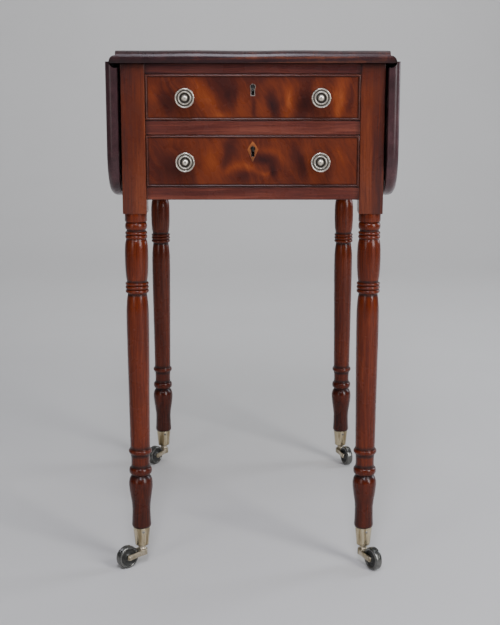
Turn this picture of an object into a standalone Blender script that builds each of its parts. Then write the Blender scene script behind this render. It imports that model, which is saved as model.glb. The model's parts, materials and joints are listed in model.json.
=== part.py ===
"""Vintage sewing table: a small mahogany work table with two drawers, two drop leaves,
turned legs and brass castors.

Metres, +Z up. The front faces -Y, and left and right are those of someone facing it.
The origin is at the middle of the bounding box, on the floor.
"""

import math

import bmesh
import bpy
from mathutils import Matrix

GAP = 0.0003                # play left between pieces that touch
REACH = 0.02                # how far a cutting tool runs past the piece that it cuts
FRONT, BACK, LEFT, RIGHT = -1, 1, -1, 1

# Table top
HEIGHT = 0.717
TOP_THICK = 0.016
TOP_LENGTH = 0.508          # front to back
TOP_UNDER = HEIGHT - TOP_THICK
TOP_ROUND = 0.0093          # rounding of the front and back edges

# Rule joint between the top and a leaf; every size is taken from the hinge axis
HINGE_X = 0.179
HINGE_Z = TOP_UNDER + 0.0022
OVOLO_R = 0.0080            # rounded edge of the top
COVE_R = 0.0085             # hollow edge of the leaf
LEAF_WIDTH = 0.180
LEAF_CORNER_R = 0.062

# Hinges
HINGE_Y = 0.165             # from the middle of the table to the middle of a hinge
HINGE_WIDE = 0.025
HINGE_BARREL_R = 0.0020
HINGE_PIN_R = 0.0010
HINGE_BORE_R = 0.0013
HINGE_BARREL = 0.0088       # length of the leaf plate's middle barrel
PLATE_LOW, PLATE_HIGH = -0.0019, -0.0004    # faces of both plates below the hinge axis
PLATE_STEP = 0.0023         # the full width of a plate starts this far from the axis
LAP = 0.0005                # how far a hinge's fingers run into its plate
FIXED_PLATE = 0.027
LEAF_PLATE = 0.035

# Legs
POST = 0.032
LEG_X = 0.1575
LEG_Y = 0.230
POST_FOOT = 0.503
LEG_SIDES = 12

# Carcass
CASE_LOW = 0.5223
INSIDE_X = LEG_X - POST / 2
FACE_Y = -(LEG_Y + POST / 2)            # front of the posts and rails
POST_INNER_Y = LEG_Y - POST / 2
SIDE_THICK = 0.010
FLY_INNER_X = 0.1525
FLY_THICK = 0.018
FLY_SPLIT_GAP = 0.0012
BRACKET_TALL = 0.055
BRACKET_LONG = 0.150
BRACKET_PIN_R = 0.0025
BRACKET_PIN_SEAT = 0.004                # how far the pin goes down into the fly rail
BRACKET_Y = 0.070                       # hinge of the bracket, behind the middle
BRACKET_TIP = 0.016                     # height of the bracket's blunt end
BRACKET_SCOOP_R = 0.022                 # finger hollow under the blunt end
BACK_PANEL_Y = 0.2293
BACK_THICK = 0.014
RAIL_DEEP = 0.024
TENON_LONG = 0.012
TENON_SHOULDER = 0.003                  # a tenon is this much lower than its rail, at each edge
RAIL_TENON = (0.008, 0.016)             # front and back of a rail's tenon, behind the face
PANEL_TENON_SHOULDER = 0.010
BACK_TENON = (0.004, 0.010)             # the same for the back panel, from its inner face
SIDE_TENON = (0.0025, 0.0075)           # the same for a side panel
RUNNER_WIDE = 0.020
RUNNER_TALL = 0.012
DUST_THICK = 0.008

# Drawers: the heights of the two openings, and the drawers in them
UPPER_OPENING = (0.6268, 0.6870)
LOWER_OPENING = (0.5392, 0.6080)
RAILS = {
    "top_rail": (UPPER_OPENING[1], TOP_UNDER - GAP),
    "middle_rail": (LOWER_OPENING[1], UPPER_OPENING[0]),
    "bottom_rail": (CASE_LOW, LOWER_OPENING[0]),
}
DRAWER_PLAY = 0.0005
FRONT_THICK = 0.018
COCKBEAD_WIDE = 0.0028
COCKBEAD_PROUD = 0.0015
DRAWER_LONG = 0.455
DRAWER_SIDE = 0.008
DRAWER_BACK = 0.007
DRAWER_BOTTOM = 0.005
BOTTOM_RAISED = 0.004
GROOVE_DEEP = 0.003
SIDE_DROP = 0.003                       # drawer sides stop this far below the front's top edge

# Knobs
KNOB_X = 0.0886
KNOB_Z = {"upper": 0.6567, "lower": 0.5737}
KNOB_PROJECT = 0.022
KNOB_SHANK_R = 0.0020
KNOB_SIDES = 16

# Locks
LOCK_WIDE = 0.050
LOCK_TALL = 0.034
LOCK_THICK = 0.009
BOLT_WIDE = 0.014
BOLT_THICK = 0.005
BOLT_TALL = 0.022
BOLT_TRAVEL = 0.006
ESCUTCHEON_THICK = 0.0015
KEYHOLE_Z = {"upper": 0.6706, "lower": 0.5901}      # middle of the keyhole's round top
KEYHOLE_R = 0.0026
KEYHOLE_TAIL = 0.0034
KEYHOLE_TALL = {"upper": 0.0134, "lower": 0.0128}
LINER_WALL = 0.0008                     # brass lining round the upper keyhole

# Castors
CUP_LOW, CUP_HIGH = 0.0292, 0.0556
CUP_LOW_R, CUP_HIGH_R = 0.0096, 0.0119
CUP_WALL = 0.0015
CUP_FLOOR = 0.003
CUP_HOLE_R = 0.0029
CASTOR_PIN_R = 0.0025
CASTOR_HEAD_R = 0.0045
CASTOR_HEAD = 0.0012
NECK_R = 0.0052
NECK_HIGH = CUP_LOW - 0.0005
YOKE_R = 0.0077
YOKE_LOW, YOKE_HIGH = 0.0140, 0.0226
TRAIL = 0.0252
ARM_INNER = 0.0055
ARM_THICK = 0.0022
ARM_END_R = 0.0038
AXLE_R = 0.0020
WHEEL_R = 0.0163
WHEEL_SIDES = 20
WHEEL_HALF = 0.0052
WHEEL_BORE_R = 0.0024
AXLE_Z = WHEEL_R * math.cos(math.pi / WHEEL_SIDES)      # a flat of the wheel is on the floor
# Direction that each castor trails in, in degrees from +X
CASTORS = {
    "front_left": (LEFT, FRONT, 219),
    "front_right": (RIGHT, FRONT, 299),
    "back_left": (LEFT, BACK, 235),
    "back_right": (RIGHT, BACK, 291.5),
}

# The knobs reach further to the front than the top does to the back: this centres the box
CENTRE_Y = -(FACE_Y - KNOB_PROJECT + TOP_LENGTH / 2) / 2


# ---------------------------------------------------------------- scene and helpers

for old in list(bpy.data.objects):
    bpy.data.objects.remove(old, do_unlink=True)

PARTS = bpy.data.collections.new("vintage_sewing_table")
TOOLS = bpy.data.collections.new("cutters")
for group in (PARTS, TOOLS):
    bpy.context.scene.collection.children.link(group)


def material(name, colour, roughness, metallic=0.0):
    made = bpy.data.materials.new(name)
    made.use_nodes = True
    shader = made.node_tree.nodes["Principled BSDF"]
    shader.inputs["Base Color"].default_value = (*colour, 1.0)
    shader.inputs["Roughness"].default_value = roughness
    shader.inputs["Metallic"].default_value = metallic
    return made


MAHOGANY = material("mahogany", (0.125, 0.030, 0.011), 0.35)
DARK_MAHOGANY = material("dark_mahogany", (0.055, 0.014, 0.010), 0.32)
VENEER = material("flame_veneer", (0.230, 0.062, 0.016), 0.30)
OAK = material("drawer_oak", (0.320, 0.175, 0.075), 0.60)
PALE_BRASS = material("pale_brass", (0.520, 0.460, 0.340), 0.32, 1.0)
AGED_BRASS = material("aged_brass", (0.300, 0.230, 0.110), 0.40, 1.0)
STEEL = material("dark_steel", (0.110, 0.110, 0.100), 0.38, 1.0)
BOXWOOD = material("boxwood", (0.560, 0.330, 0.110), 0.45)


def add_empty(name, location=(0.0, 0.0, 0.0), turn=0.0, parent=None):
    """A handle that pieces hang on; turn is in degrees about +Z."""
    handle = bpy.data.objects.new(name, None)
    handle.location = location
    handle.rotation_euler = (0.0, 0.0, math.radians(turn))
    handle.parent = parent
    PARTS.objects.link(handle)
    return handle


def add_mesh(name, mesh, finish, parent=None, location=(0.0, 0.0, 0.0), rotation=(0.0, 0.0, 0.0)):
    piece = bpy.data.objects.new(name, mesh)
    piece.location = location
    piece.rotation_euler = rotation
    piece.parent = parent
    mesh.materials.clear()
    mesh.materials.append(finish)
    PARTS.objects.link(piece)
    return piece


def add_box(name, low, high, finish, parent=None):
    """A board between two corners, with its origin at its middle."""
    size = [b - a for a, b in zip(low, high)]
    middle = [(a + b) / 2 for a, b in zip(low, high)]
    mesh = bpy.data.meshes.new(name)
    shape = bmesh.new()
    bmesh.ops.create_cube(shape, size=1.0, matrix=Matrix.Diagonal((*size, 1.0)))
    shape.to_mesh(mesh)
    shape.free()
    return add_mesh(name, mesh, finish, parent, middle)


def add_rod(name, radius, length, finish, parent=None, location=(0.0, 0.0, 0.0),
            rotation=(0.0, 0.0, 0.0), sides=12):
    """A cylinder about its own Z, centred on its origin."""
    mesh = bpy.data.meshes.new(name)
    shape = bmesh.new()
    bmesh.ops.create_cone(shape, cap_ends=True, segments=sides, radius1=radius, radius2=radius,
                          depth=length)
    shape.to_mesh(mesh)
    shape.free()
    mesh.shade_smooth()
    mesh.set_sharp_from_angle(angle=math.radians(40))
    return add_mesh(name, mesh, finish, parent, location, rotation)


def add_turned(name, profile, finish, parent=None, location=(0.0, 0.0, 0.0),
               rotation=(0.0, 0.0, 0.0), sides=16, closed=False, start=0.0):
    """Turns a profile of (radius, height) points, top to bottom down its outer side."""
    mesh = bpy.data.meshes.new(name)
    points = [(r * math.cos(start), r * math.sin(start), z) for r, z in profile]
    edges = [(i, i + 1) for i in range(len(points) - 1)]
    if closed:
        edges.append((len(points) - 1, 0))
    mesh.from_pydata(points, edges, [])
    piece = add_mesh(name, mesh, finish, parent, location, rotation)
    screw = piece.modifiers.new("turn", "SCREW")
    screw.steps = sides
    screw.render_steps = sides
    screw.use_merge_vertices = True
    screw.merge_threshold = 0.00001
    return piece


def add_prism(name, outline, depth, finish, parent=None, location=(0.0, 0.0, 0.0),
              rotation=(0.0, 0.0, 0.0)):
    """A flat outline in its own XY plane, with half of its depth on each side."""
    curve = bpy.data.curves.new(name, "CURVE")
    curve.dimensions = "2D"
    curve.fill_mode = "BOTH"
    curve.extrude = depth / 2
    spline = curve.splines.new("POLY")
    spline.points.add(len(outline) - 1)
    for point, (x, y) in zip(spline.points, outline):
        point.co = (x, y, 0.0, 1.0)
    spline.use_cyclic_u = True
    flat = bpy.data.objects.new(name + "_outline", curve)
    PARTS.objects.link(flat)
    depsgraph = bpy.context.evaluated_depsgraph_get()
    mesh = bpy.data.meshes.new_from_object(flat.evaluated_get(depsgraph))
    bpy.data.objects.remove(flat, do_unlink=True)
    shape = bmesh.new()
    shape.from_mesh(mesh)
    bmesh.ops.remove_doubles(shape, verts=shape.verts, dist=0.000001)
    bmesh.ops.recalc_face_normals(shape, faces=shape.faces)
    shape.to_mesh(mesh)
    shape.free()
    return add_mesh(name, mesh, finish, parent, location, rotation)


ACROSS = (math.pi / 2, 0.0, 0.0)            # an outline in X and Z, with its depth along Y
SIDEWAYS = (math.pi / 2, 0.0, math.pi / 2)  # an outline in Y and Z, with its depth along X


def combine(piece, tool, operation):
    """Cuts, joins or trims a piece with a tool, which is kept in the cutters collection."""
    PARTS.objects.unlink(tool)
    TOOLS.objects.link(tool)
    tool.hide_render = True
    tool.display_type = "WIRE"
    step = piece.modifiers.new(tool.name, "BOOLEAN")
    step.operation = operation
    step.object = tool
    step.solver = "EXACT"
    return piece


def cut(piece, tool):
    return combine(piece, tool, "DIFFERENCE")


def fuse(piece, tool):
    return combine(piece, tool, "UNION")


def cut_box(piece, low, high, parent=None):
    return cut(piece, add_box(piece.name + "_pocket", low, high, MAHOGANY, parent))


def arc(x, y, radius, start, end, steps):
    """Points of an arc about (x, y), from one angle to another in degrees."""
    points = []
    for i in range(steps + 1):
        angle = math.radians(start + (end - start) * i / steps)
        points.append((x + radius * math.cos(angle), y + radius * math.sin(angle)))
    return points


def mirrored(outline, side):
    """The outline for one side of the table: the right as drawn, the left flipped."""
    return [(x * side, y) for x, y in outline]


def side_name(side):
    return "left" if side == LEFT else "right"


def end_name(end):
    return "front" if end == FRONT else "back"


# ---------------------------------------------------------------- legs and castors

def ring(top, bottom, root, crest, steps=2):
    """A rounded ring on a turning, standing from the root radius out to the crest."""
    points = []
    for i in range(steps + 1):
        angle = math.pi * i / steps
        height = top + (bottom - top) * (1 - math.cos(angle)) / 2
        points.append((root + (crest - root) * math.sin(angle), height))
    return points


def leg_profile():
    """The turned part of a leg, from inside the square post down to the end in the cup."""
    spigot_top = CUP_HIGH_R - CUP_WALL - GAP
    spigot_foot = CUP_LOW + CUP_FLOOR + GAP + CASTOR_HEAD + 2 * GAP
    return [
        (0.0, POST_FOOT + 0.010),
        (0.0130, POST_FOOT + 0.010),
        (0.0150, POST_FOOT - 0.001),
        (0.0150, 0.4915),
        *ring(0.4903, 0.4808, 0.0132, 0.0150),
        *ring(0.4782, 0.4737, 0.0130, 0.0150),
        *ring(0.4733, 0.4682, 0.0135, 0.0150),
        *ring(0.4671, 0.4098, 0.0138, 0.0160, 4),
        *ring(0.4087, 0.4044, 0.0138, 0.0160),
        *ring(0.4041, 0.3991, 0.0138, 0.0160),
        *ring(0.3988, 0.3937, 0.0138, 0.0160),
        (0.0132, 0.3919),
        (0.0155, 0.3560),
        (0.01375, 0.1724),
        *ring(0.1718, 0.1640, 0.0145, 0.0162),
        (0.0130, 0.1620),
        (0.0130, 0.1475),
        *ring(0.1452, 0.1338, 0.0132, 0.0160),
        (0.0126, 0.1326),
        (0.01675, 0.1208),
        (0.0154, 0.1057),
        (0.0129, 0.0860),
        (0.0136, 0.0590),
        (spigot_top, CUP_HIGH + 2 * GAP),
        (spigot_top - (CUP_HIGH_R - CUP_LOW_R), spigot_foot),
        (0.0, spigot_foot),
    ]


def cut_mortises(post, side, end, table):
    """Cuts the mortises for the rails or the back panel, and for the side panel."""
    inner, deep = INSIDE_X - REACH, INSIDE_X + TENON_LONG + GAP
    x = sorted((side * inner, side * deep))
    if end == FRONT:
        slots = [(FACE_Y + RAIL_TENON[0], FACE_Y + RAIL_TENON[1], low + TENON_SHOULDER,
                  high - TENON_SHOULDER) for low, high in RAILS.values()]
    else:
        slots = [(BACK_PANEL_Y + BACK_TENON[0], BACK_PANEL_Y + BACK_TENON[1],
                  CASE_LOW + PANEL_TENON_SHOULDER, TOP_UNDER - PANEL_TENON_SHOULDER)]
    for near, far, low, high in slots:
        cut_box(post, (x[0], near - GAP, low - GAP), (x[1], far + GAP, high + GAP), table)
    x = sorted(side * (INSIDE_X + edge) for edge in (SIDE_TENON[0] - GAP, SIDE_TENON[1] + GAP))
    y = sorted((end * (POST_INNER_Y - REACH), end * (POST_INNER_Y + TENON_LONG + GAP)))
    cut_box(post, (x[0], y[0], CASE_LOW + PANEL_TENON_SHOULDER - GAP),
            (x[1], y[1], TOP_UNDER - PANEL_TENON_SHOULDER + GAP), table)


def make_leg(name, side, end, table):
    x, y = LEG_X * side, LEG_Y * end
    low = (x - POST / 2, y - POST / 2, POST_FOOT)
    high = (x + POST / 2, y + POST / 2, TOP_UNDER - GAP)
    post = add_box(name, low, high, MAHOGANY, table)
    turning = add_turned(name + "_turning", leg_profile(), MAHOGANY, table, (x, y, 0.0),
                         sides=LEG_SIDES)
    fuse(post, turning)
    cut_mortises(post, side, end, table)
    return post


def make_cup(name, castor):
    """The brass cup over the end of a leg, with a hole in its floor for the castor's pin."""
    floor = CUP_LOW + CUP_FLOOR
    profile = [
        (CUP_HIGH_R, CUP_HIGH),
        (CUP_LOW_R, CUP_LOW),
        (CUP_HOLE_R, CUP_LOW),
        (CUP_HOLE_R, floor),
        (CUP_LOW_R - CUP_WALL, floor),
        (CUP_HIGH_R - CUP_WALL, CUP_HIGH),
    ]
    return add_turned(name, profile, AGED_BRASS, castor, sides=16, closed=True)


def fork_arm_outline():
    """One arm from the yoke to its round end on the axle, along the trail and up."""
    return [
        (-0.0020, YOKE_HIGH - GAP),
        (-0.0020, YOKE_LOW + GAP),
        *arc(TRAIL, AXLE_Z, ARM_END_R, 262, 442, 6),
        (0.0050, YOKE_HIGH - GAP),
    ]


def make_fork(name, castor):
    """Pin, neck, yoke, two arms and the axle of one castor, in one piece."""
    head_low = CUP_LOW + CUP_FLOOR + GAP
    profile = [
        (0.0, head_low + CASTOR_HEAD),
        (CASTOR_HEAD_R, head_low + CASTOR_HEAD),
        (CASTOR_HEAD_R, head_low),
        (CASTOR_PIN_R, head_low),
        (CASTOR_PIN_R, NECK_HIGH),
        (NECK_R, NECK_HIGH),
        (NECK_R, YOKE_HIGH),
        (YOKE_R, YOKE_HIGH),
        (YOKE_R, YOKE_LOW),
        (0.0, YOKE_LOW),
    ]
    fork = add_turned(name, profile, PALE_BRASS, castor, sides=16)
    for side in (LEFT, RIGHT):
        y = side * (ARM_INNER + ARM_THICK / 2)
        arm = add_prism(name + "_arm", fork_arm_outline(), ARM_THICK, PALE_BRASS, castor,
                        (0.0, y, 0.0), ACROSS)
        fuse(fork, arm)
    axle = add_rod(name + "_axle", AXLE_R, 2 * (ARM_INNER + ARM_THICK) + 0.001, PALE_BRASS,
                   castor, (TRAIL, 0.0, AXLE_Z), ACROSS)
    return fuse(fork, axle)


def make_wheel(name, castor):
    """A wheel with dished faces, about its own Z, which lies along the axle."""
    half = [(WHEEL_R, WHEEL_HALF - 0.001), (0.0146, WHEEL_HALF), (0.0120, WHEEL_HALF),
            (0.0112, 0.0034), (0.0058, 0.0034), (0.0050, WHEEL_HALF), (WHEEL_BORE_R, WHEEL_HALF)]
    upper = list(reversed(half))
    lower = [(r, -z) for r, z in half]
    half_step = math.pi / WHEEL_SIDES
    return add_turned(name, upper + lower, STEEL, castor, (TRAIL, 0.0, AXLE_Z), ACROSS,
                      sides=WHEEL_SIDES, closed=True, start=math.pi / 2 + half_step)


def make_castor(corner, table):
    side, end, trail = CASTORS[corner]
    place = (LEG_X * side, LEG_Y * end, 0.0)
    make_cup("castor_cup_" + corner, add_empty("cup_seat_" + corner, place, 0.0, table))
    castor = add_empty("castor_swivel_" + corner, place, trail, table)
    make_fork("castor_fork_" + corner, castor)
    make_wheel("castor_wheel_" + corner, castor)


# ---------------------------------------------------------------- top, leaves and hinges

def hinge_recess(piece, low, high, axis):
    """Cuts the seat of one hinge plate and the groove for its barrel."""
    cut_box(piece, low, high, axis)
    groove = add_rod(piece.name + "_groove", HINGE_BARREL_R + 2 * GAP, HINGE_WIDE + 2 * GAP,
                     MAHOGANY, axis, (0.0, (low[1] + high[1]) / 2, 0.0), ACROSS, 10)
    return cut(piece, groove)


def make_top(table, axes):
    """The slab, with a rounded front and back edge and a rule-joint ovolo along each side."""
    corner = math.degrees(math.asin((TOP_UNDER - HINGE_Z) / OVOLO_R))
    half = [(HINGE_X, HEIGHT), *arc(HINGE_X, HINGE_Z, OVOLO_R, 90, corner, 6)]
    outline = half + [(-x, z) for x, z in reversed(half)]
    top = add_prism("table_top", outline, TOP_LENGTH, DARK_MAHOGANY, table, rotation=ACROSS)
    back = TOP_LENGTH / 2
    edge = arc(back - TOP_ROUND, HEIGHT - TOP_ROUND, TOP_ROUND, 90, 0, 5)
    section = edge + [(back, TOP_UNDER - REACH), (-back, TOP_UNDER - REACH)]
    section += [(-y, z) for y, z in reversed(edge)]
    trim = add_prism("top_edges", section, 4 * HINGE_X, DARK_MAHOGANY, table, rotation=SIDEWAYS)
    combine(top, trim, "INTERSECT")
    for side in (LEFT, RIGHT):
        for end in (FRONT, BACK):
            y = HINGE_Y * end
            half_wide = HINGE_WIDE / 2 + GAP
            inner, outer = -side * (FIXED_PLATE + GAP), side * (OVOLO_R + REACH)
            low = (min(inner, outer), y - half_wide, PLATE_LOW - REACH)
            high = (max(inner, outer), y + half_wide, PLATE_HIGH + GAP)
            hinge_recess(top, low, high, axes[side])
    return top


def make_leaf(side, axis):
    """A hanging leaf: its hollow edge is at the top, its underside towards the legs."""
    name = "leaf_" + side_name(side)
    under = TOP_UNDER - HINGE_Z
    face = HEIGHT - HINGE_Z
    lip = math.degrees(math.asin(GAP / COVE_R))
    section = [
        (face, -GAP),
        (face, -LEAF_WIDTH),
        (under, -LEAF_WIDTH),
        (under, -COVE_R),
        *arc(0.0, 0.0, COVE_R, -90, -lip, 7),
    ]
    leaf = add_prism(name, mirrored(section, side), TOP_LENGTH, DARK_MAHOGANY, axis,
                     rotation=ACROSS)
    half, radius = TOP_LENGTH / 2, LEAF_CORNER_R
    corner = arc(half - radius, radius - LEAF_WIDTH, radius, -90, 0, 9)
    outline = corner + [(half, REACH)]
    outline += [(-y, z) for y, z in reversed(outline)]
    trim = add_prism(name + "_outline", outline, 4 * TOP_THICK, DARK_MAHOGANY, axis,
                     rotation=SIDEWAYS)
    combine(leaf, trim, "INTERSECT")
    for end in (FRONT, BACK):
        half_wide = HINGE_WIDE / 2 + GAP
        inner, outer = side * (PLATE_LOW - REACH), side * (PLATE_HIGH + GAP)
        low = (min(inner, outer), HINGE_Y * end - half_wide, -LEAF_PLATE - GAP)
        high = (max(inner, outer), HINGE_Y * end + half_wide, 0.0)
        cut_box(leaf, low, high, axis)
    return leaf


def make_fixed_plate(side, end, axis):
    """The plate under the top, with the two outer barrels and the pin."""
    name = "hinge_plate_" + side_name(side) + "_" + end_name(end)
    y = HINGE_Y * end
    near, far = -side * PLATE_STEP, -side * FIXED_PLATE
    low = (min(near, far), y - HINGE_WIDE / 2, PLATE_LOW)
    high = (max(near, far), y + HINGE_WIDE / 2, PLATE_HIGH)
    plate = add_box(name, low, high, AGED_BRASS, axis)
    barrel_long = (HINGE_WIDE - HINGE_BARREL) / 2 - GAP
    for turn in (FRONT, BACK):
        middle = y + turn * (HINGE_WIDE - barrel_long) / 2
        low = (min(0.0, near - side * LAP), middle - barrel_long / 2, PLATE_LOW)
        high = (max(0.0, near - side * LAP), middle + barrel_long / 2, PLATE_HIGH)
        fuse(plate, add_box(name + "_finger", low, high, AGED_BRASS, axis))
        fuse(plate, add_rod(name + "_barrel", HINGE_BARREL_R, barrel_long, AGED_BRASS, axis,
                            (0.0, middle, 0.0), ACROSS, 10))
    pin = add_rod(name + "_pin", HINGE_PIN_R, HINGE_WIDE - barrel_long, AGED_BRASS, axis,
                  (0.0, y, 0.0), ACROSS, 8)
    return fuse(plate, pin)


def make_leaf_plate(side, end, axis):
    """The plate let into the leaf, hanging with it, with the bored middle barrel."""
    name = "leaf_hinge_" + side_name(side) + "_" + end_name(end)
    y = HINGE_Y * end
    inner, outer = side * PLATE_LOW, side * PLATE_HIGH
    x = (min(inner, outer), max(inner, outer))
    plate = add_box(name, (x[0], y - HINGE_WIDE / 2, -LEAF_PLATE),
                    (x[1], y + HINGE_WIDE / 2, -PLATE_STEP), AGED_BRASS, axis)
    finger = add_box(name + "_finger", (x[0], y - HINGE_BARREL / 2, -PLATE_STEP - LAP),
                     (x[1], y + HINGE_BARREL / 2, 0.0), AGED_BRASS, axis)
    fuse(plate, finger)
    fuse(plate, add_rod(name + "_barrel", HINGE_BARREL_R, HINGE_BARREL, AGED_BRASS, axis,
                        (0.0, y, 0.0), ACROSS, 10))
    bore = add_rod(name + "_bore", HINGE_BORE_R, 2 * HINGE_BARREL, AGED_BRASS, axis,
                   (0.0, y, 0.0), ACROSS, 8)
    return cut(plate, bore)


# ---------------------------------------------------------------- carcass

def make_rail(name, table):
    """A rail across the front, tenoned into both posts."""
    low, high = RAILS[name]
    half = INSIDE_X - GAP
    rail = add_box(name, (-half, FACE_Y, low), (half, FACE_Y + RAIL_DEEP, high), MAHOGANY, table)
    tenon = add_box(name + "_tenons",
                    (-INSIDE_X - TENON_LONG, FACE_Y + RAIL_TENON[0], low + TENON_SHOULDER),
                    (INSIDE_X + TENON_LONG, FACE_Y + RAIL_TENON[1], high - TENON_SHOULDER),
                    MAHOGANY, table)
    return fuse(rail, tenon)


def cut_bolt_mortise(rail, low, table):
    """The hole in the underside of a rail that a lock bolt rises into."""
    y = bolt_y()
    wide, deep = BOLT_WIDE / 2 + 2 * GAP, BOLT_THICK / 2 + 2 * GAP
    cut_box(rail, (-wide, y - deep, low - REACH),
            (wide, y + deep, low + BOLT_TRAVEL + 2 * GAP), table)


def make_side(side, table):
    """The inner side panel, which the drawers run along."""
    near, far = side * INSIDE_X, side * (INSIDE_X + SIDE_THICK)
    low = (min(near, far), -POST_INNER_Y + GAP, CASE_LOW)
    high = (max(near, far), POST_INNER_Y - GAP, TOP_UNDER - GAP)
    panel = add_box("side_panel_" + side_name(side), low, high, MAHOGANY, table)
    x = sorted(side * (INSIDE_X + edge) for edge in SIDE_TENON)
    reach = POST_INNER_Y + TENON_LONG
    fuse(panel, add_box(panel.name + "_tenons", (x[0], -reach, CASE_LOW + PANEL_TENON_SHOULDER),
                        (x[1], reach, TOP_UNDER - PANEL_TENON_SHOULDER), MAHOGANY, table))


def make_fly(side, table):
    """The fly rail outside a side panel, and the bracket that swings out of its top edge."""
    near, far = side * FLY_INNER_X, side * (FLY_INNER_X + FLY_THICK)
    x = (min(near, far), max(near, far))
    top = TOP_UNDER - GAP
    foot = top - BRACKET_TALL
    middle = (x[0] + x[1]) / 2
    rail = add_box("fly_rail_" + side_name(side), (x[0], -POST_INNER_Y + GAP, CASE_LOW),
                   (x[1], POST_INNER_Y - GAP, top), MAHOGANY, table)
    notch_back = BRACKET_Y + FLY_THICK / 2 + FLY_SPLIT_GAP
    notch_front = BRACKET_Y - BRACKET_LONG - FLY_SPLIT_GAP
    cut_box(rail, (x[0] - REACH, notch_front, foot - FLY_SPLIT_GAP),
            (x[1] + REACH, notch_back, top + REACH), table)
    pin_low = foot - FLY_SPLIT_GAP - BRACKET_PIN_SEAT
    fuse(rail, add_rod(rail.name + "_pin", BRACKET_PIN_R, top - pin_low, STEEL, table,
                       (middle, BRACKET_Y, (top + pin_low) / 2)))

    name = "fly_bracket_" + side_name(side)
    tip = -BRACKET_LONG
    outline = [
        (0.0, foot),
        (0.0, top),
        (tip, top),
        (tip, top - BRACKET_TIP),
        *arc(tip + BRACKET_SCOOP_R, foot + 0.030, BRACKET_SCOOP_R, 160, 250, 4),
        (tip + 0.040, foot),
    ]
    bracket = add_prism(name, outline, FLY_THICK, MAHOGANY, table, (middle, BRACKET_Y, 0.0),
                        SIDEWAYS)
    knuckle = add_rod(name + "_knuckle", FLY_THICK / 2, BRACKET_TALL, MAHOGANY, table,
                      (middle, BRACKET_Y, (top + foot) / 2), sides=16)
    fuse(bracket, knuckle)
    bore = add_rod(name + "_bore", BRACKET_PIN_R + 2 * GAP, BRACKET_TALL + REACH, MAHOGANY,
                   table, (middle, BRACKET_Y, (top + foot) / 2))
    return cut(bracket, bore)


def make_carcass(table):
    for name, opening in (("top_rail", UPPER_OPENING), ("middle_rail", LOWER_OPENING)):
        cut_bolt_mortise(make_rail(name, table), opening[1], table)
    make_rail("bottom_rail", table)
    rail_back = FACE_Y + RAIL_DEEP + GAP
    inside = INSIDE_X - GAP
    back = add_box("back_panel", (-inside, BACK_PANEL_Y, CASE_LOW),
                   (inside, BACK_PANEL_Y + BACK_THICK, TOP_UNDER - GAP), MAHOGANY, table)
    reach = INSIDE_X + TENON_LONG
    fuse(back, add_box("back_tenons",
                       (-reach, BACK_PANEL_Y + BACK_TENON[0], CASE_LOW + PANEL_TENON_SHOULDER),
                       (reach, BACK_PANEL_Y + BACK_TENON[1], TOP_UNDER - PANEL_TENON_SHOULDER),
                       MAHOGANY, table))
    add_box("dust_board", (-inside, rail_back, UPPER_OPENING[0] - DUST_THICK),
            (inside, BACK_PANEL_Y - GAP, UPPER_OPENING[0]), OAK, table)
    for side in (LEFT, RIGHT):
        make_side(side, table)
        make_fly(side, table)
        near, far = side * inside, side * (inside - RUNNER_WIDE)
        add_box("drawer_runner_" + side_name(side),
                (min(near, far), rail_back, LOWER_OPENING[0] - RUNNER_TALL),
                (max(near, far), BACK_PANEL_Y - GAP, LOWER_OPENING[0]), OAK, table)


# ---------------------------------------------------------------- drawers

def lock_back_y():
    return FACE_Y + FRONT_THICK - GAP


def bolt_y():
    """The bolt's middle, behind the middle of the lock case."""
    return lock_back_y() - LOCK_THICK / 2


def keyhole_outline(tall, grow=0.0):
    """A keyhole: a round top about (0, 0), and a straight tail down to its foot."""
    r, half = KEYHOLE_R + grow, KEYHOLE_TAIL / 2 + grow
    foot = KEYHOLE_R - tall - grow
    join = math.degrees(math.acos(half / r))
    return [*arc(0.0, 0.0, r, -join, 180 + join, 10), (-half, foot), (half, foot)]


def kite_outline(grow=0.0):
    """The kite of the lower keyhole, from the middle of the keyhole's round top."""
    wide, above, below = 0.0072 + grow, 0.0097 + 1.6 * grow, 0.0176 + 2.4 * grow
    return [(0.0, above), (-wide, -0.0011), (0.0, -below), (wide, -0.0011)]


def knob_profile():
    """A turned knob about its axis, from its face to the end of its shank."""
    p = KNOB_PROJECT
    return [
        (0.0, p),
        (0.0041, p),
        (0.0062, p - 0.0022),
        (0.0082, p - 0.0004),
        (0.0097, p - 0.0018),
        (0.0118, p - 0.0004),
        (0.0130, p - 0.0024),
        (0.0118, p - 0.0046),
        (0.0060, p - 0.0100),
        (0.0048, p - 0.0160),
        (0.0075, 0.0022),
        (0.0075, 2 * GAP),
        (KNOB_SHANK_R, 2 * GAP),
        (KNOB_SHANK_R, -FRONT_THICK + 0.0010),
        (0.0, -FRONT_THICK + 0.0010),
    ]


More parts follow.
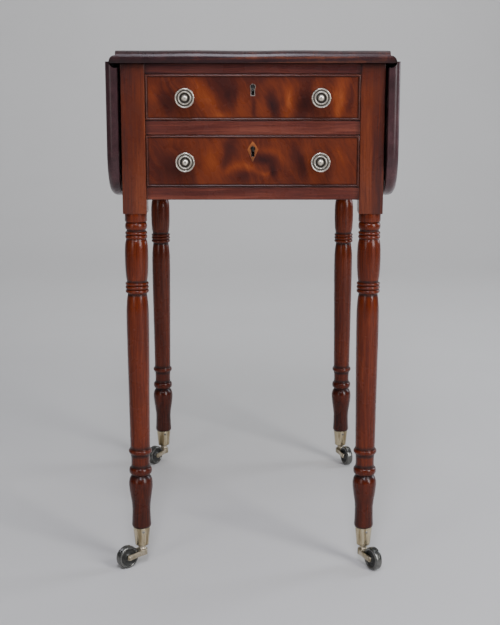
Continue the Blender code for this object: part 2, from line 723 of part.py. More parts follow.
def make_drawer_front(prefix, low, high, knob_z, keyhole_z, keyhole, inlay, drawer):
    """The front board, with the raised cockbead round it and every hole and pocket in it."""
    half = INSIDE_X - DRAWER_PLAY
    back = FACE_Y + FRONT_THICK
    front = add_box(prefix + "_drawer_front", (-half, FACE_Y - COCKBEAD_PROUD, low),
                    (half, back, high), VENEER, drawer)
    bead = COCKBEAD_WIDE
    cut_box(front, (-half + bead, FACE_Y - REACH, low + bead), (half - bead, FACE_Y, high - bead),
            drawer)
    floor = low + BOTTOM_RAISED - GAP
    cut_box(front, (-half + DRAWER_SIDE - GROOVE_DEEP - GAP, back - GROOVE_DEEP - GAP, floor),
            (half - DRAWER_SIDE + GROOVE_DEEP + GAP, back + REACH, floor + DRAWER_BOTTOM + 2 * GAP),
            drawer)
    lock_half = LOCK_WIDE / 2 + GAP
    cut_box(front, (-lock_half, lock_back_y() - LOCK_THICK - GAP, high - LOCK_TALL - 2 * GAP),
            (lock_half, back + REACH, high + REACH), drawer)
    hole = add_prism(prefix + "_keyhole", keyhole, 4 * FRONT_THICK, VENEER, drawer,
                     (0.0, FACE_Y, keyhole_z), ACROSS)
    cut(front, hole)
    seat = add_prism(prefix + "_inlay_seat", inlay, 2 * (ESCUTCHEON_THICK + GAP), VENEER, drawer,
                     (0.0, FACE_Y, keyhole_z), ACROSS)
    cut(front, seat)
    for side in (LEFT, RIGHT):
        bore = add_rod(prefix + "_knob_hole", KNOB_SHANK_R + 2 * GAP, 4 * FRONT_THICK, VENEER,
                       drawer, (KNOB_X * side, FACE_Y, knob_z), ACROSS)
        cut(front, bore)
    return front


def make_drawer_box(prefix, low, high, drawer):
    """The two sides, the back and the bottom behind a drawer front."""
    front_back = FACE_Y + FRONT_THICK + GAP
    rear = FACE_Y + DRAWER_LONG
    half = INSIDE_X - DRAWER_PLAY
    inner = half - DRAWER_SIDE
    top = high - SIDE_DROP
    floor = low + BOTTOM_RAISED
    for side in (LEFT, RIGHT):
        near, far = side * inner, side * half
        panel = add_box(prefix + "_drawer_side_" + side_name(side),
                        (min(near, far), front_back, low), (max(near, far), rear, top), OAK,
                        drawer)
        groove = side * (inner + GROOVE_DEEP + GAP)
        inside = side * (inner - REACH)
        cut_box(panel, (min(groove, inside), front_back - REACH, floor - GAP),
                (max(groove, inside), rear + REACH, floor + DRAWER_BOTTOM + GAP), drawer)
    add_box(prefix + "_drawer_back", (-inner + GAP, rear - DRAWER_BACK, floor + DRAWER_BOTTOM + GAP),
            (inner - GAP, rear, top), OAK, drawer)
    tongue = inner + GROOVE_DEEP
    add_box(prefix + "_drawer_bottom", (-tongue, front_back - GROOVE_DEEP, floor),
            (tongue, rear, floor + DRAWER_BOTTOM), OAK, drawer)


def make_lock(prefix, high, keyhole_z, keyhole, drawer):
    """The lock case let into the drawer front, and the bolt that rises out of it."""
    back = lock_back_y()
    top = high - GAP
    case = add_box(prefix + "_lock_case", (-LOCK_WIDE / 2, back - LOCK_THICK, top - LOCK_TALL),
                   (LOCK_WIDE / 2, back, top), AGED_BRASS, drawer)
    wide, deep = BOLT_WIDE / 2 + GAP, BOLT_THICK / 2 + GAP
    cut_box(case, (-wide, bolt_y() - deep, top - BOLT_TALL - GAP),
            (wide, bolt_y() + deep, top + REACH), drawer)
    hole = add_prism(prefix + "_lock_keyhole", keyhole, LOCK_THICK, AGED_BRASS, drawer,
                     (0.0, back - LOCK_THICK, keyhole_z), ACROSS)
    cut(case, hole)
    low = top - BOLT_TALL
    add_box(prefix + "_lock_bolt", (-BOLT_WIDE / 2, bolt_y() - BOLT_THICK / 2, low),
            (BOLT_WIDE / 2, bolt_y() + BOLT_THICK / 2, top), STEEL, drawer)


def make_escutcheon(prefix, outline, keyhole, keyhole_z, finish, drawer):
    plate = add_prism(prefix + "_escutcheon", outline, ESCUTCHEON_THICK, finish, drawer,
                      (0.0, FACE_Y + ESCUTCHEON_THICK / 2, keyhole_z), ACROSS)
    hole = add_prism(prefix + "_escutcheon_hole", keyhole, 4 * ESCUTCHEON_THICK, finish, drawer,
                     (0.0, FACE_Y, keyhole_z), ACROSS)
    return cut(plate, hole)


def make_drawer(prefix, opening, kite, table):
    drawer = add_empty(prefix + "_drawer", (0.0, 0.0, 0.0), 0.0, table)
    low, high = opening[0] + DRAWER_PLAY, opening[1] - DRAWER_PLAY
    tall, knob_z, keyhole_z = KEYHOLE_TALL[prefix], KNOB_Z[prefix], KEYHOLE_Z[prefix]
    hole = keyhole_outline(tall)
    if kite:
        outline, seat, finish = kite_outline(), kite_outline(GAP), BOXWOOD
    else:
        outline = keyhole_outline(tall, LINER_WALL)
        seat, finish = keyhole_outline(tall, LINER_WALL + GAP), PALE_BRASS
    make_drawer_front(prefix, low, high, knob_z, keyhole_z, hole, seat, drawer)
    make_drawer_box(prefix, low, high, drawer)
    make_lock(prefix, high, keyhole_z, hole, drawer)
    make_escutcheon(prefix, outline, hole, keyhole_z, finish, drawer)
    for side in (LEFT, RIGHT):
        add_turned(prefix + "_knob_" + side_name(side), knob_profile(), PALE_BRASS, drawer,
                   (KNOB_X * side, FACE_Y, knob_z), ACROSS, KNOB_SIDES)


# ---------------------------------------------------------------- assembly

def make_table():
    table = add_empty("sewing_table", (0.0, CENTRE_Y, 0.0))
    axes = {side: add_empty("hinge_axis_" + side_name(side), (HINGE_X * side, 0.0, HINGE_Z), 0.0,
                            table) for side in (LEFT, RIGHT)}
    make_top(table, axes)
    make_carcass(table)
    for corner, (side, end, trail) in CASTORS.items():
        make_leg("leg_" + corner, side, end, table)
        make_castor(corner, table)
    for side in (LEFT, RIGHT):
        make_leaf(side, axes[side])
        for end in (FRONT, BACK):
            make_fixed_plate(side, end, axes[side])
            make_leaf_plate(side, end, axes[side])
    make_drawer("upper", UPPER_OPENING, False, table)
    make_drawer("lower", LOWER_OPENING, True, table)


make_table()
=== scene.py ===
"""Looks of the vintage sewing table: fine wood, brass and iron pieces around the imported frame.

Metres, +Z up, front towards -Y, as in the frame. Each piece is made where the frame says it is.
"""

import json
import math

import bmesh
import bpy
from mathutils import Matrix, Vector, noise


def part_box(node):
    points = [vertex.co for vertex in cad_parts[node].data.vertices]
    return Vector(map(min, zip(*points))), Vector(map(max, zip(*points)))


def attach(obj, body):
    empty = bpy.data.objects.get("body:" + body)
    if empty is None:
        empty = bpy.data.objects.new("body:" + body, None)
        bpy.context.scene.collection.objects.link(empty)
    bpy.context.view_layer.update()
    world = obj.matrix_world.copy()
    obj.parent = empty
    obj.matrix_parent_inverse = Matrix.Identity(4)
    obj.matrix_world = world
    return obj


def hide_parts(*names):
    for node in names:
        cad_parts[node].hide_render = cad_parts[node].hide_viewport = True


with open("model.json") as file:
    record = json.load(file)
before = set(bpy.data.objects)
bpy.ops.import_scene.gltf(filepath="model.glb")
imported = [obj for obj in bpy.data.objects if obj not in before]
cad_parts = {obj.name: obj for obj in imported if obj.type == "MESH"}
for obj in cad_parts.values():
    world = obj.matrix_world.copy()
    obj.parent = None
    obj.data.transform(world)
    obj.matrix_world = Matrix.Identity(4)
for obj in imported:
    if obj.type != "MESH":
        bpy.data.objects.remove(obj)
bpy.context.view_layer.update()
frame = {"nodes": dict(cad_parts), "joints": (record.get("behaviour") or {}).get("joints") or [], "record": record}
NODES = frame["nodes"]

ENDS = {"front": -1, "back": 1}
SIDES = {"left": -1, "right": 1}
CORNERS = [(end, side) for end in ENDS for side in SIDES]

TOP_LOW, TOP_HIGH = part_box("table_top")
FACE_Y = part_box("top_rail")[0].y            # front face of the posts and rails
FRONT_THICK = 0.018                         # a drawer front


# ---------------------------------------------------------------- node helpers

class Nodes:
    """A material under construction; every method adds one node and returns its output."""

    def __init__(self, name):
        self.material = bpy.data.materials.new(name)
        self.material.use_nodes = True
        self.tree = self.material.node_tree
        self.shader = self.tree.nodes["Principled BSDF"]

    def feed(self, node, key, value):
        socket = node.inputs[key]
        if isinstance(value, bpy.types.NodeSocket):
            self.tree.links.new(value, socket)
        elif isinstance(value, (tuple, list)) and len(value) == 3 and socket.type == "RGBA":
            socket.default_value = (*value, 1.0)
        else:
            socket.default_value = value

    def add(self, kind, inputs, output=0, **settings):
        node = self.tree.nodes.new("ShaderNode" + kind)
        for key, value in settings.items():
            setattr(node, key, value)
        for key, value in inputs.items():
            self.feed(node, key, value)
        return node.outputs[output]

    def position(self):
        return self.add("TexCoord", {}, "Object")

    def stretch(self, vector, scale, turn=(0.0, 0.0, 0.0)):
        return self.add("Mapping", {"Vector": vector, "Scale": scale, "Rotation": turn})

    def noise(self, vector, scale=1.0, detail=3.0, rough=0.5, distort=0.0, output=0):
        return self.add("TexNoise", {"Vector": vector, "Scale": scale, "Detail": detail,
                                     "Roughness": rough, "Distortion": distort}, output)

    def math(self, operation, a, b=0.0, clamp=False):
        return self.add("Math", {0: a, 1: b}, operation=operation, use_clamp=clamp)

    def weigh(self, start, *terms):
        """start plus the sum of (noise - 0.5) times its weight."""
        total = start
        for value, weight in terms:
            node = self.add("Math", {0: value, 1: weight}, operation="MULTIPLY_ADD")
            self.feed(node.node, 2, self.math("SUBTRACT", total, 0.5 * weight))
            total = node
        return total

    def vector(self, operation, a, b):
        return self.add("VectorMath", {0: a, 1: b}, operation=operation)

    def spread(self, value, low, high, to_low=0.0, to_high=1.0):
        return self.add("MapRange", {"Value": value, "From Min": low, "From Max": high,
                                     "To Min": to_low, "To Max": to_high},
                        interpolation_type="SMOOTHSTEP")

    def mix(self, factor, a, b, blend="MIX"):
        node = self.tree.nodes.new("ShaderNodeMix")
        node.data_type = "RGBA"
        node.blend_type = blend
        self.feed(node, 0, factor)
        self.feed(node, 6, a)
        self.feed(node, 7, b)
        return node.outputs[2]

    def ramp(self, factor, stops):
        node = self.tree.nodes.new("ShaderNodeValToRGB")
        ramp = node.color_ramp
        while len(ramp.elements) < len(stops):
            ramp.elements.new(0.5)
        for element, (place, colour) in zip(ramp.elements, stops):
            element.position = place
            element.color = (*colour, 1.0)
        self.feed(node, 0, factor)
        return node.outputs[0]

    def attribute(self, name):
        return self.add("Attribute", {}, "Fac", attribute_name=name)

    def bump(self, height, distance, strength=1.0, normal=None):
        inputs = {"Height": height, "Distance": distance, "Strength": strength}
        if normal is not None:
            inputs["Normal"] = normal
        return self.add("Bump", inputs)

    def finish(self, **inputs):
        for key, value in inputs.items():
            self.feed(self.shader, key.replace("_", " "), value)
        return self.material


# ---------------------------------------------------------------- materials

AXIS = {"X": 0, "Y": 1, "Z": 2}


def along(axis, length, width):
    """Noise scales for wood whose grain runs along an axis."""
    scale = [width, width, width]
    scale[AXIS[axis]] = length
    return tuple(scale)


def wood(name, axis, dark, middle, light, gloss=0.28, coat=0.4, coat_gloss=0.20, seed=0.0,
         figure=1.0):
    """Polished mahogany: wavy growth bands, fine streaks, short dark pores, grime and wear, and painted shade
    carried by the darkening and tone painted on the mesh.
    """
    n = Nodes(name)
    place = n.vector("ADD", n.position(), (seed, seed * 1.7, seed * 0.6))
    sway = n.vector("SUBTRACT", n.noise(place, 7.0, 2.0, output="Color"), (0.5, 0.5, 0.5))
    place = n.vector("ADD", place, n.vector("MULTIPLY", sway, (0.012, 0.012, 0.012)))
    bands = n.noise(n.stretch(place, along(axis, 3.0, 60.0)), 1.0, 4.0, 0.55)
    streaks = n.noise(n.stretch(place, along(axis, 16.0, 520.0)), 1.0, 3.0, 0.6)
    pores = n.noise(n.stretch(place, along(axis, 130.0, 1500.0)), 1.0, 2.0, 0.6)
    pores = n.spread(pores, 0.58, 0.72)
    ribbon = n.noise(n.stretch(place, along(axis, 12.0, 24.0)), 1.0, 2.0, 0.5)
    value = n.weigh(0.5, (bands, 0.9 * figure), (streaks, 0.85), (ribbon, 0.30))
    # The tone painted on the mesh shifts the colour; on the posts and the top rail it is partly painted shade
    # under the top.
    value = n.math("ADD", value, n.math("MULTIPLY", n.attribute("tone"), 0.4))
    colour = n.ramp(value, [(0.10, dark), (0.5, middle), (0.90, light)])
    colour = n.mix(n.math("MULTIPLY", pores, 0.40), colour, tuple(c * 0.4 for c in dark))
    grime = n.attribute("grime")
    patch = n.noise(place, 160.0, 3.0, 0.6)
    dirt_and_shade = n.math("MULTIPLY", grime, n.spread(patch, 0.25, 0.60, 0.55, 1.0), clamp=True)
    # Mixes in the darkening painted on the mesh: partly dirt, partly painted shade in grooves, creases and under
    # the top.
    colour = n.mix(dirt_and_shade, colour, (0.008, 0.004, 0.004))
    smear = n.noise(place, 28.0, 3.0, 0.6)
    rough = n.math("ADD", n.spread(smear, 0.3, 0.7, gloss - 0.06, gloss + 0.10),
                   n.math("MULTIPLY", grime, 0.25))
    height = n.math("SUBTRACT", n.math("MULTIPLY", streaks, 0.35), pores)
    surface = n.bump(height, 0.00008, 0.6)
    surface = n.bump(n.noise(place, 45.0, 2.0), 0.0006, 0.25, surface)
    return n.finish(Base_Color=colour, Roughness=rough, Normal=surface, Coat_Weight=coat,
                    Coat_Roughness=coat_gloss, Coat_IOR=1.38, Specular_IOR_Level=0.12)


def veneer(name):
    """Flame mahogany veneer: the figure and the painted shadows of the knobs come from the mesh, the plumes and
    fibre from noise.
    """
    n = Nodes(name)
    place = n.position()
    sway = n.vector("SUBTRACT", n.noise(place, 26.0, 3.0, output="Color"), (0.5, 0.5, 0.5))
    place = n.vector("ADD", place, n.vector("MULTIPLY", sway, (0.026, 0.0, 0.022)))
    lean = n.stretch(place, (1.0, 1.0, 1.0), turn=(0.0, math.radians(24), 0.0))
    plume = n.noise(n.stretch(lean, (70.0, 20.0, 14.0)), 1.0, 4.0, 0.6)
    feather = n.noise(n.stretch(lean, (190.0, 40.0, 26.0)), 1.0, 3.0, 0.6)
    fibre = n.noise(n.stretch(lean, (760.0, 60.0, 60.0)), 1.0, 3.0, 0.6)
    pores = n.spread(n.noise(n.stretch(lean, (2400.0, 300.0, 300.0)), 1.0, 2.0, 0.6), 0.60, 0.74)
    value = n.weigh(0.47, (plume, 0.42), (feather, 0.26), (fibre, 0.22))
    value = n.math("ADD", value, n.math("MULTIPLY", n.attribute("tone"), 0.30))
    colour = n.ramp(value, [(0.10, (0.024, 0.0085, 0.0085)), (0.38, (0.062, 0.0140, 0.0090)),
                            (0.64, (0.150, 0.0300, 0.0100)), (0.95, (0.340, 0.0860, 0.0240))])
    colour = n.mix(n.math("MULTIPLY", pores, 0.4), colour, (0.012, 0.003, 0.002))
    grime = n.attribute("grime")
    # The darkening painted on the mesh here is painted shade along the bead.
    colour = n.mix(n.math("MULTIPLY", grime, 0.9, clamp=True), colour, (0.010, 0.004, 0.003))
    rough = n.spread(n.noise(place, 30.0, 3.0, 0.6), 0.3, 0.7, 0.22, 0.36)
    surface = n.bump(n.math("SUBTRACT", n.math("MULTIPLY", fibre, 0.3), pores), 0.00006, 0.5)
    surface = n.bump(n.noise(place, 38.0, 2.0), 0.0007, 0.25, surface)
    return n.finish(Base_Color=colour, Roughness=rough, Normal=surface, Coat_Weight=0.5,
                    Coat_Roughness=0.16, Coat_IOR=1.38, Specular_IOR_Level=0.12)


def dry_wood(name, axis, dark, light, seed=0.0):
    """Unpolished secondary wood: open grain, dull, with dusty blotches."""
    n = Nodes(name)
    place = n.vector("ADD", n.position(), (seed, seed, seed))
    bands = n.noise(n.stretch(place, along(axis, 4.0, 80.0)), 1.0, 4.0, 0.6, 0.3)
    fibre = n.noise(n.stretch(place, along(axis, 25.0, 900.0)), 1.0, 3.0, 0.6)
    blotch = n.noise(place, 14.0, 3.0, 0.6)
    value = n.math("ADD", n.math("MULTIPLY", bands, 0.6), n.math("MULTIPLY", fibre, 0.4))
    colour = n.mix(n.spread(value, 0.32, 0.68), dark, light)
    colour = n.mix(n.spread(blotch, 0.45, 0.75, 0.0, 0.35), colour, tuple(c * 0.55 for c in dark))
    colour = n.mix(n.math("MULTIPLY", n.attribute("grime"), 0.8), colour, (0.03, 0.02, 0.012))
    rough = n.spread(fibre, 0.3, 0.7, 0.62, 0.82)
    return n.finish(Base_Color=colour, Roughness=rough, Normal=n.bump(fibre, 0.0002, 0.5),
                    Specular_IOR_Level=0.3)


def metal(name, bright, dull, dark, gloss, pitted=0.0, turned=0.0):
    """Old metal: rubbed patches over a dull skin, dirt in the hollows, painted shade where the mesh is darkened
    for it, scratches, lathe lines.
    """
    n = Nodes(name)
    place = n.position()
    if turned:
        wear = n.noise(n.stretch(place, (170.0, 170.0, 14.0)), 1.0, 3.0, 0.6)
    else:
        wear = n.noise(place, 90.0, 3.0, 0.6)
    spots = n.noise(place, 800.0, 3.0, 0.65)
    scratch = n.noise(n.stretch(place, (2600.0, 2600.0, 240.0)), 1.0, 2.0, 0.6)
    mask = n.spread(wear, 0.34, 0.60)
    colour = n.mix(mask, dull, bright)
    colour = n.mix(n.spread(spots, 0.60, 0.78, 0.0, 0.35 + pitted), colour, dark)
    grime = n.math("MULTIPLY", n.attribute("grime"), 1.0, clamp=True)
    # Mixes in the darkening painted on the mesh: dirt in hollows, and painted shade on the lock, wheel faces and
    # keyhole liner.
    colour = n.mix(grime, colour, dark)
    rough = n.math("ADD", n.spread(wear, 0.3, 0.7, gloss + 0.12, gloss),
                   n.math("MULTIPLY", grime, 0.3))
    solid = n.math("SUBTRACT", 1.0, n.math("MULTIPLY", grime, 0.55))
    height = n.math("ADD", n.math("MULTIPLY", spots, 0.3 + pitted), n.math("MULTIPLY", scratch, 0.12))
    surface = n.bump(height, 0.00005, 0.40)
    if turned:
        lines = n.noise(n.stretch(place, (60.0, 60.0, 1900.0)), 1.0, 2.0, 0.6)
        surface = n.bump(lines, 0.0003, turned, surface)
    return n.finish(Base_Color=colour, Metallic=solid, Roughness=rough, Normal=surface)


POST_WOOD = wood("post_mahogany", "Z", (0.040, 0.0135, 0.0125), (0.098, 0.0210, 0.0095),
                 (0.180, 0.0430, 0.0165), seed=0.4, figure=1.2)
LEG_WOOD = wood("leg_mahogany", "Z", (0.024, 0.0030, 0.0008), (0.080, 0.0098, 0.0016),
                (0.165, 0.0260, 0.0050), gloss=0.26, coat=0.6, coat_gloss=0.20, seed=1.3,
                figure=0.7)
RAIL_WOOD = wood("rail_mahogany", "X", (0.040, 0.0125, 0.0125), (0.094, 0.0250, 0.0185),
                 (0.185, 0.0530, 0.0340), seed=2.1, figure=1.4)
TOP_WOOD = wood("top_mahogany", "Y", (0.014, 0.0050, 0.0062), (0.036, 0.0110, 0.0118),
                (0.125, 0.0330, 0.0160), gloss=0.28, coat=0.9, coat_gloss=0.26, seed=3.2)
LEAF_WOOD = wood("leaf_mahogany", "Y", (0.028, 0.0110, 0.0130), (0.064, 0.0260, 0.0300),
                 (0.115, 0.0480, 0.0500), gloss=0.32, coat=0.7, coat_gloss=0.24, seed=4.7)
BEAD_WOOD = wood("bead_mahogany", "X", (0.030, 0.0075, 0.0055), (0.072, 0.0180, 0.0110),
                 (0.130, 0.0360, 0.0190), gloss=0.26, coat=0.7, seed=5.5)
PANEL_WOOD = wood("panel_mahogany", "Y", (0.036, 0.0066, 0.0034), (0.085, 0.0175, 0.0070),
                  (0.150, 0.0370, 0.0125), gloss=0.34, coat=0.3, seed=6.1)
BACK_WOOD = wood("back_mahogany", "X", (0.036, 0.0066, 0.0034), (0.082, 0.0168, 0.0068),
                 (0.145, 0.0360, 0.0122), gloss=0.36, coat=0.3, seed=6.9)
VENEER = veneer("flame_veneer")
OAK_Y = dry_wood("drawer_side_oak", "Y", (0.170, 0.090, 0.038), (0.330, 0.200, 0.095))
OAK_X = dry_wood("drawer_back_oak", "X", (0.170, 0.090, 0.038), (0.320, 0.190, 0.090), 1.0)
PINE = dry_wood("runner_pine", "Y", (0.200, 0.105, 0.042), (0.380, 0.225, 0.100), 2.0)
PALE_BRASS = metal("pale_brass", (0.800, 0.745, 0.650), (0.600, 0.540, 0.450),
                   (0.028, 0.022, 0.018), 0.22)
AGED_BRASS = metal("aged_brass", (0.640, 0.545, 0.370), (0.290, 0.222, 0.120),
                   (0.020, 0.015, 0.009), 0.20, turned=0.9)
FORK_BRASS = metal("fork_brass", (0.560, 0.490, 0.370), (0.300, 0.250, 0.160),
                   (0.040, 0.033, 0.024), 0.26, pitted=0.15)
IRON = metal("wheel_iron", (0.210, 0.208, 0.195), (0.080, 0.080, 0.073),
             (0.006, 0.006, 0.005), 0.20, pitted=0.05)
STEEL = metal("screw_steel", (0.330, 0.320, 0.300), (0.160, 0.150, 0.140),
              (0.035, 0.030, 0.026), 0.34)
BOXWOOD = dry_wood("boxwood", "Z", (0.210, 0.0520, 0.0090), (0.400, 0.1180, 0.0200), 3.0)


# ---------------------------------------------------------------- mesh helpers

def clamp(value, low=0.0, high=1.0):
    return max(low, min(high, value))


def ease(value, low, high):
    """0 below low, 1 above high, and a smooth step between."""
    t = clamp((value - low) / (high - low))
    return t * t * (3 - 2 * t)


def arc(x, y, radius, start, end, steps):
    """Points of an arc about (x, y), from one angle to another in degrees."""
    points = []
    for i in range(steps + 1):
        angle = math.radians(start + (end - start) * i / steps)
        points.append((x + radius * math.cos(angle), y + radius * math.sin(angle)))
    return points


def curve(points, per=5):
    """A smooth line through points (Catmull-Rom), with so many steps between two of them."""
    padded = [points[0], *points, points[-1]]
    line = []
    for a, b, c, d in zip(padded, padded[1:], padded[2:], padded[3:]):
        for i in range(per):
            t = i / per
            line.append(tuple(
                0.5 * (2 * q + (r - p) * t + (2 * p - 5 * q + 4 * r - s) * t * t
                       + (3 * q - p - 3 * r + s) * t ** 3)
                for p, q, r, s in zip(a, b, c, d)))
    line.append(points[-1])
    return line


def ring(top, bottom, root, crest, steps=8):
    """A half-round ring on a turning, from its top to its bottom, standing out to the crest."""
    points = []
    for i in range(steps + 1):
        angle = math.pi * i / steps
        height = top + (bottom - top) * (1 - math.cos(angle)) / 2
        points.append((root + (crest - root) * math.sin(angle), height))
    return points


def loft(shape, loops, caps=True):
    """Joins closed loops of points into a skin, and closes its two ends if caps is set."""
    rows = [[shape.verts.new(point) for point in loop] for loop in loops]
    for a, b in zip(rows, rows[1:]):
        for i in range(len(a)):
            j = (i + 1) % len(a)
            shape.faces.new((a[i], a[j], b[j], b[i]))
    if caps:
        shape.faces.new(list(reversed(rows[0])))
        shape.faces.new(rows[-1])
    return rows


def lathe(profile, segments=64, relief=None):
    """A turned solid about Z from (radius, height) points; relief(r, z, angle) shifts z."""
    shape = bmesh.new()
    rows = []
    for radius, height in profile:
        if radius < 1e-7:
            rows.append([shape.verts.new((0.0, 0.0, height))])
            continue
        row = []
        for i in range(segments):
            angle = 2 * math.pi * i / segments
            rise = relief(radius, height, angle) if relief else 0.0
            row.append(shape.verts.new((radius * math.cos(angle), radius * math.sin(angle),
                                        height + rise)))
        rows.append(row)
    for a, b in zip(rows, rows[1:]):
        for i in range(segments):
            j = (i + 1) % segments
            if len(a) == 1:
                shape.faces.new((a[0], b[i], b[j]))
            elif len(b) == 1:
                shape.faces.new((a[i], b[0], a[j]))
            else:
                shape.faces.new((a[i], b[i], b[j], a[j]))
    if len(rows[0]) > 1:
        for i in range(segments):
            j = (i + 1) % segments
            shape.faces.new((rows[-1][i], rows[0][i], rows[0][j], rows[-1][j]))
    bmesh.ops.recalc_face_normals(shape, faces=shape.faces)
    return shape


def box_shape(low, high, bevel):
    """A box between two corners, its edges rounded by the bevel; 0 leaves them sharp."""
    shape = bmesh.new()
    size = [b - a for a, b in zip(low, high)]
    middle = [(a + b) / 2 for a, b in zip(low, high)]
    matrix = Matrix.Translation(middle) @ Matrix.Diagonal((*size, 1.0))
    bmesh.ops.create_cube(shape, size=1.0, matrix=matrix)
    if bevel:
        bmesh.ops.bevel(shape, geom=list(shape.edges), offset=bevel, segments=3, profile=0.5,
                        affect="EDGES")
    return shape


def prism_shape(outline, depth, bevel):
    """A flat outline in XY, extruded from z = 0 to the depth."""
    shape = bmesh.new()
    loft(shape, [[(x, y, 0.0) for x, y in outline], [(x, y, depth) for x, y in outline]])
    bmesh.ops.recalc_face_normals(shape, faces=shape.faces)
    if bevel:
        rim = [e for e in shape.edges if len({round(v.co.z, 7) for v in e.verts}) == 1]
        bmesh.ops.bevel(shape, geom=rim, offset=bevel, segments=2, profile=0.5, affect="EDGES")
    return shape


def placed(shape, matrix):
    shape.transform(matrix)
    return shape


def merged(*shapes):
    """Several closed shapes as one."""
    total = shapes[0]
    for shape in shapes[1:]:
        mesh = bpy.data.meshes.new("part")
        shape.to_mesh(mesh)
        shape.free()
        total.from_mesh(mesh)
        bpy.data.meshes.remove(mesh)
    return total


def loose(name, shape):
    mesh = bpy.data.meshes.new(name)
    shape.to_mesh(mesh)
    shape.free()
    thing = bpy.data.objects.new(name, mesh)
    bpy.context.scene.collection.objects.link(thing)
    return thing


def carve(shape, tools):
    """Cuts each of the tools out of a shape, and returns what is left."""
    thing = loose("blank", shape)
    cutters = [loose("tool", tool) for tool in tools]
    for cutter in cutters:
        step = thing.modifiers.new("cut", "BOOLEAN")
        step.operation = "DIFFERENCE"
        step.object = cutter
        step.solver = "EXACT"
    mesh = bpy.data.meshes.new_from_object(
        thing.evaluated_get(bpy.context.evaluated_depsgraph_get()))
    result = bmesh.new()
    result.from_mesh(mesh)
    for extra in (thing, *cutters):
        bpy.data.objects.remove(extra, do_unlink=True)
    bpy.data.meshes.remove(mesh)
    return result


def paint(thing, name, rule):
    """Stores rule(point) at each vertex, for the material to read."""
    layer = thing.data.attributes.new(name, "FLOAT", "POINT")
    layer.data.foreach_set("value", [rule(v.co) for v in thing.data.vertices])


def add_piece(name, shape, finish, body, slot, node=None, tone=None, grime=None, angle=35,
              weighted=False):
    """Makes a piece from a shape in the frame's own coordinates and lets it ride on a body."""
    thing = loose(name, shape)
    thing.data.materials.append(finish)
    thing.data.shade_smooth()
    thing.data.set_sharp_from_angle(angle=math.radians(angle))
    if tone:
        paint(thing, "tone", tone)
    if grime:
        paint(thing, "grime", grime)
    if weighted:
        thing.modifiers.new("normals", "WEIGHTED_NORMAL").keep_sharp = True
    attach(thing, body)
    if node:
        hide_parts(node)
    return thing


def slice_up(shape, axis, places):
    """Cuts a shape's faces at places along an axis, so that an attribute can vary across them."""
    normal = Vector((0.0, 0.0, 0.0))
    normal[AXIS[axis]] = 1.0
    for place in places:
        parts = [*shape.verts, *shape.edges, *shape.faces]
        bmesh.ops.bisect_plane(shape, geom=parts, dist=1e-6, plane_co=normal * place,
                               plane_no=normal)
    return shape


def body_of(node):
    return next(body for body, nodes in frame["record"]["behaviour"]["bodies"].items()
                if node in nodes)


def slot_of(node):
    return next(s["material_slot"] for s in frame["record"]["subparts"] if s["node"] == node)


def refine(node, finish, ease_by, slices=(), **extra):
    """A copy of a CAD board in its place, with its edges rounded by ease_by."""
    shape = bmesh.new()
    shape.from_mesh(NODES[node].data)
    bmesh.ops.remove_doubles(shape, verts=shape.verts, dist=0.00001)
    bmesh.ops.dissolve_limit(shape, angle_limit=math.radians(2), verts=shape.verts,
                             edges=shape.edges)
    sharp = [e for e in shape.edges if len(e.link_faces) == 2
             and e.calc_face_angle() > math.radians(50)]
    bmesh.ops.bevel(shape, geom=sharp, offset=ease_by, segments=2, profile=0.5,
                    affect="EDGES", clamp_overlap=True)
    for axis, places in slices:
        slice_up(shape, axis, places)
    return add_piece(node + "_fine", shape, finish, body_of(node), slot_of(node), node,
                     weighted=True, **extra)


# ---------------------------------------------------------------- top

TOP_Y = (TOP_LOW.y + TOP_HIGH.y) / 2
TOP_HALF = (TOP_HIGH.y - TOP_LOW.y) / 2
EDGE_ROUND = 0.0093                         # rounding along the front and back edges
HINGES = {joint["child"]: joint for joint in frame["joints"] if joint["child"].startswith("leaf_")}
AXIS_X = abs(HINGES["leaf_right"]["pos_m"][0])
AXIS_Z = HINGES["leaf_right"]["pos_m"][2]
OVOLO_R = 0.0080
COVE_R = 0.0085
PLATE_GAP = 0.0003
PLATE_TOP = -0.0004                         # upper face of the hinge plates, from the axis
PLATE_UNDER = 0.0019                        # how far their lower face is below it
SEAT_REACH = 0.01                           # how far a hinge's seat is cut past the wood


def warp(x):
    """The old boards are no longer flat: the edge rises and falls by half a millimetre."""
    wave = 0.00040 * math.cos(2 * math.pi * (x + 0.08) / 0.14)
    return wave * (1 - ease(abs(x), 0.10, 0.17)) - 0.0005 * ease(x, 0.13, 0.18)


def top_outline():
    """Half of the slab's section in X and Z, from the middle of the face to that of the underside."""
    under = TOP_LOW.z
    corner = math.degrees(math.asin((under - AXIS_Z) / OVOLO_R))
    face = [(AXIS_X * i / 24, TOP_HIGH.z) for i in range(24)]
    side = arc(AXIS_X, AXIS_Z, OVOLO_R, 90, corner, 14)
    fillet = [(AXIS_X - 0.0004, TOP_HIGH.z), (AXIS_X - 0.0001, TOP_HIGH.z - 0.0003),
              (AXIS_X - 0.0001, AXIS_Z + OVOLO_R + 0.0003)]
    floor = [(AXIS_X * (1 - i / 6), under) for i in range(1, 7)]
    return face + fillet + side + floor


def hinge_cutters(side_name, side, end):
    """The seat of a hinge, open to the edge so that the leaf's plate can rise, and its groove."""
    low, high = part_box(f"hinge_plate_{side_name}_{end}")
    inner = (low.x if side > 0 else high.x) - side * PLATE_GAP
    outer = side * (AXIS_X + 2 * OVOLO_R)
    near, far = low.y - PLATE_GAP, high.y + PLATE_GAP
    seat = box_shape((min(inner, outer), near, TOP_LOW.z - 0.01),
                     (max(inner, outer), far, AXIS_Z + PLATE_TOP + PLATE_GAP), 0)
    reach = high.z - AXIS_Z + PLATE_GAP
    groove = box_shape((side * AXIS_X - reach, near, AXIS_Z - reach),
                       (side * AXIS_X + reach, far, AXIS_Z + reach), 0)
    return [seat, groove]


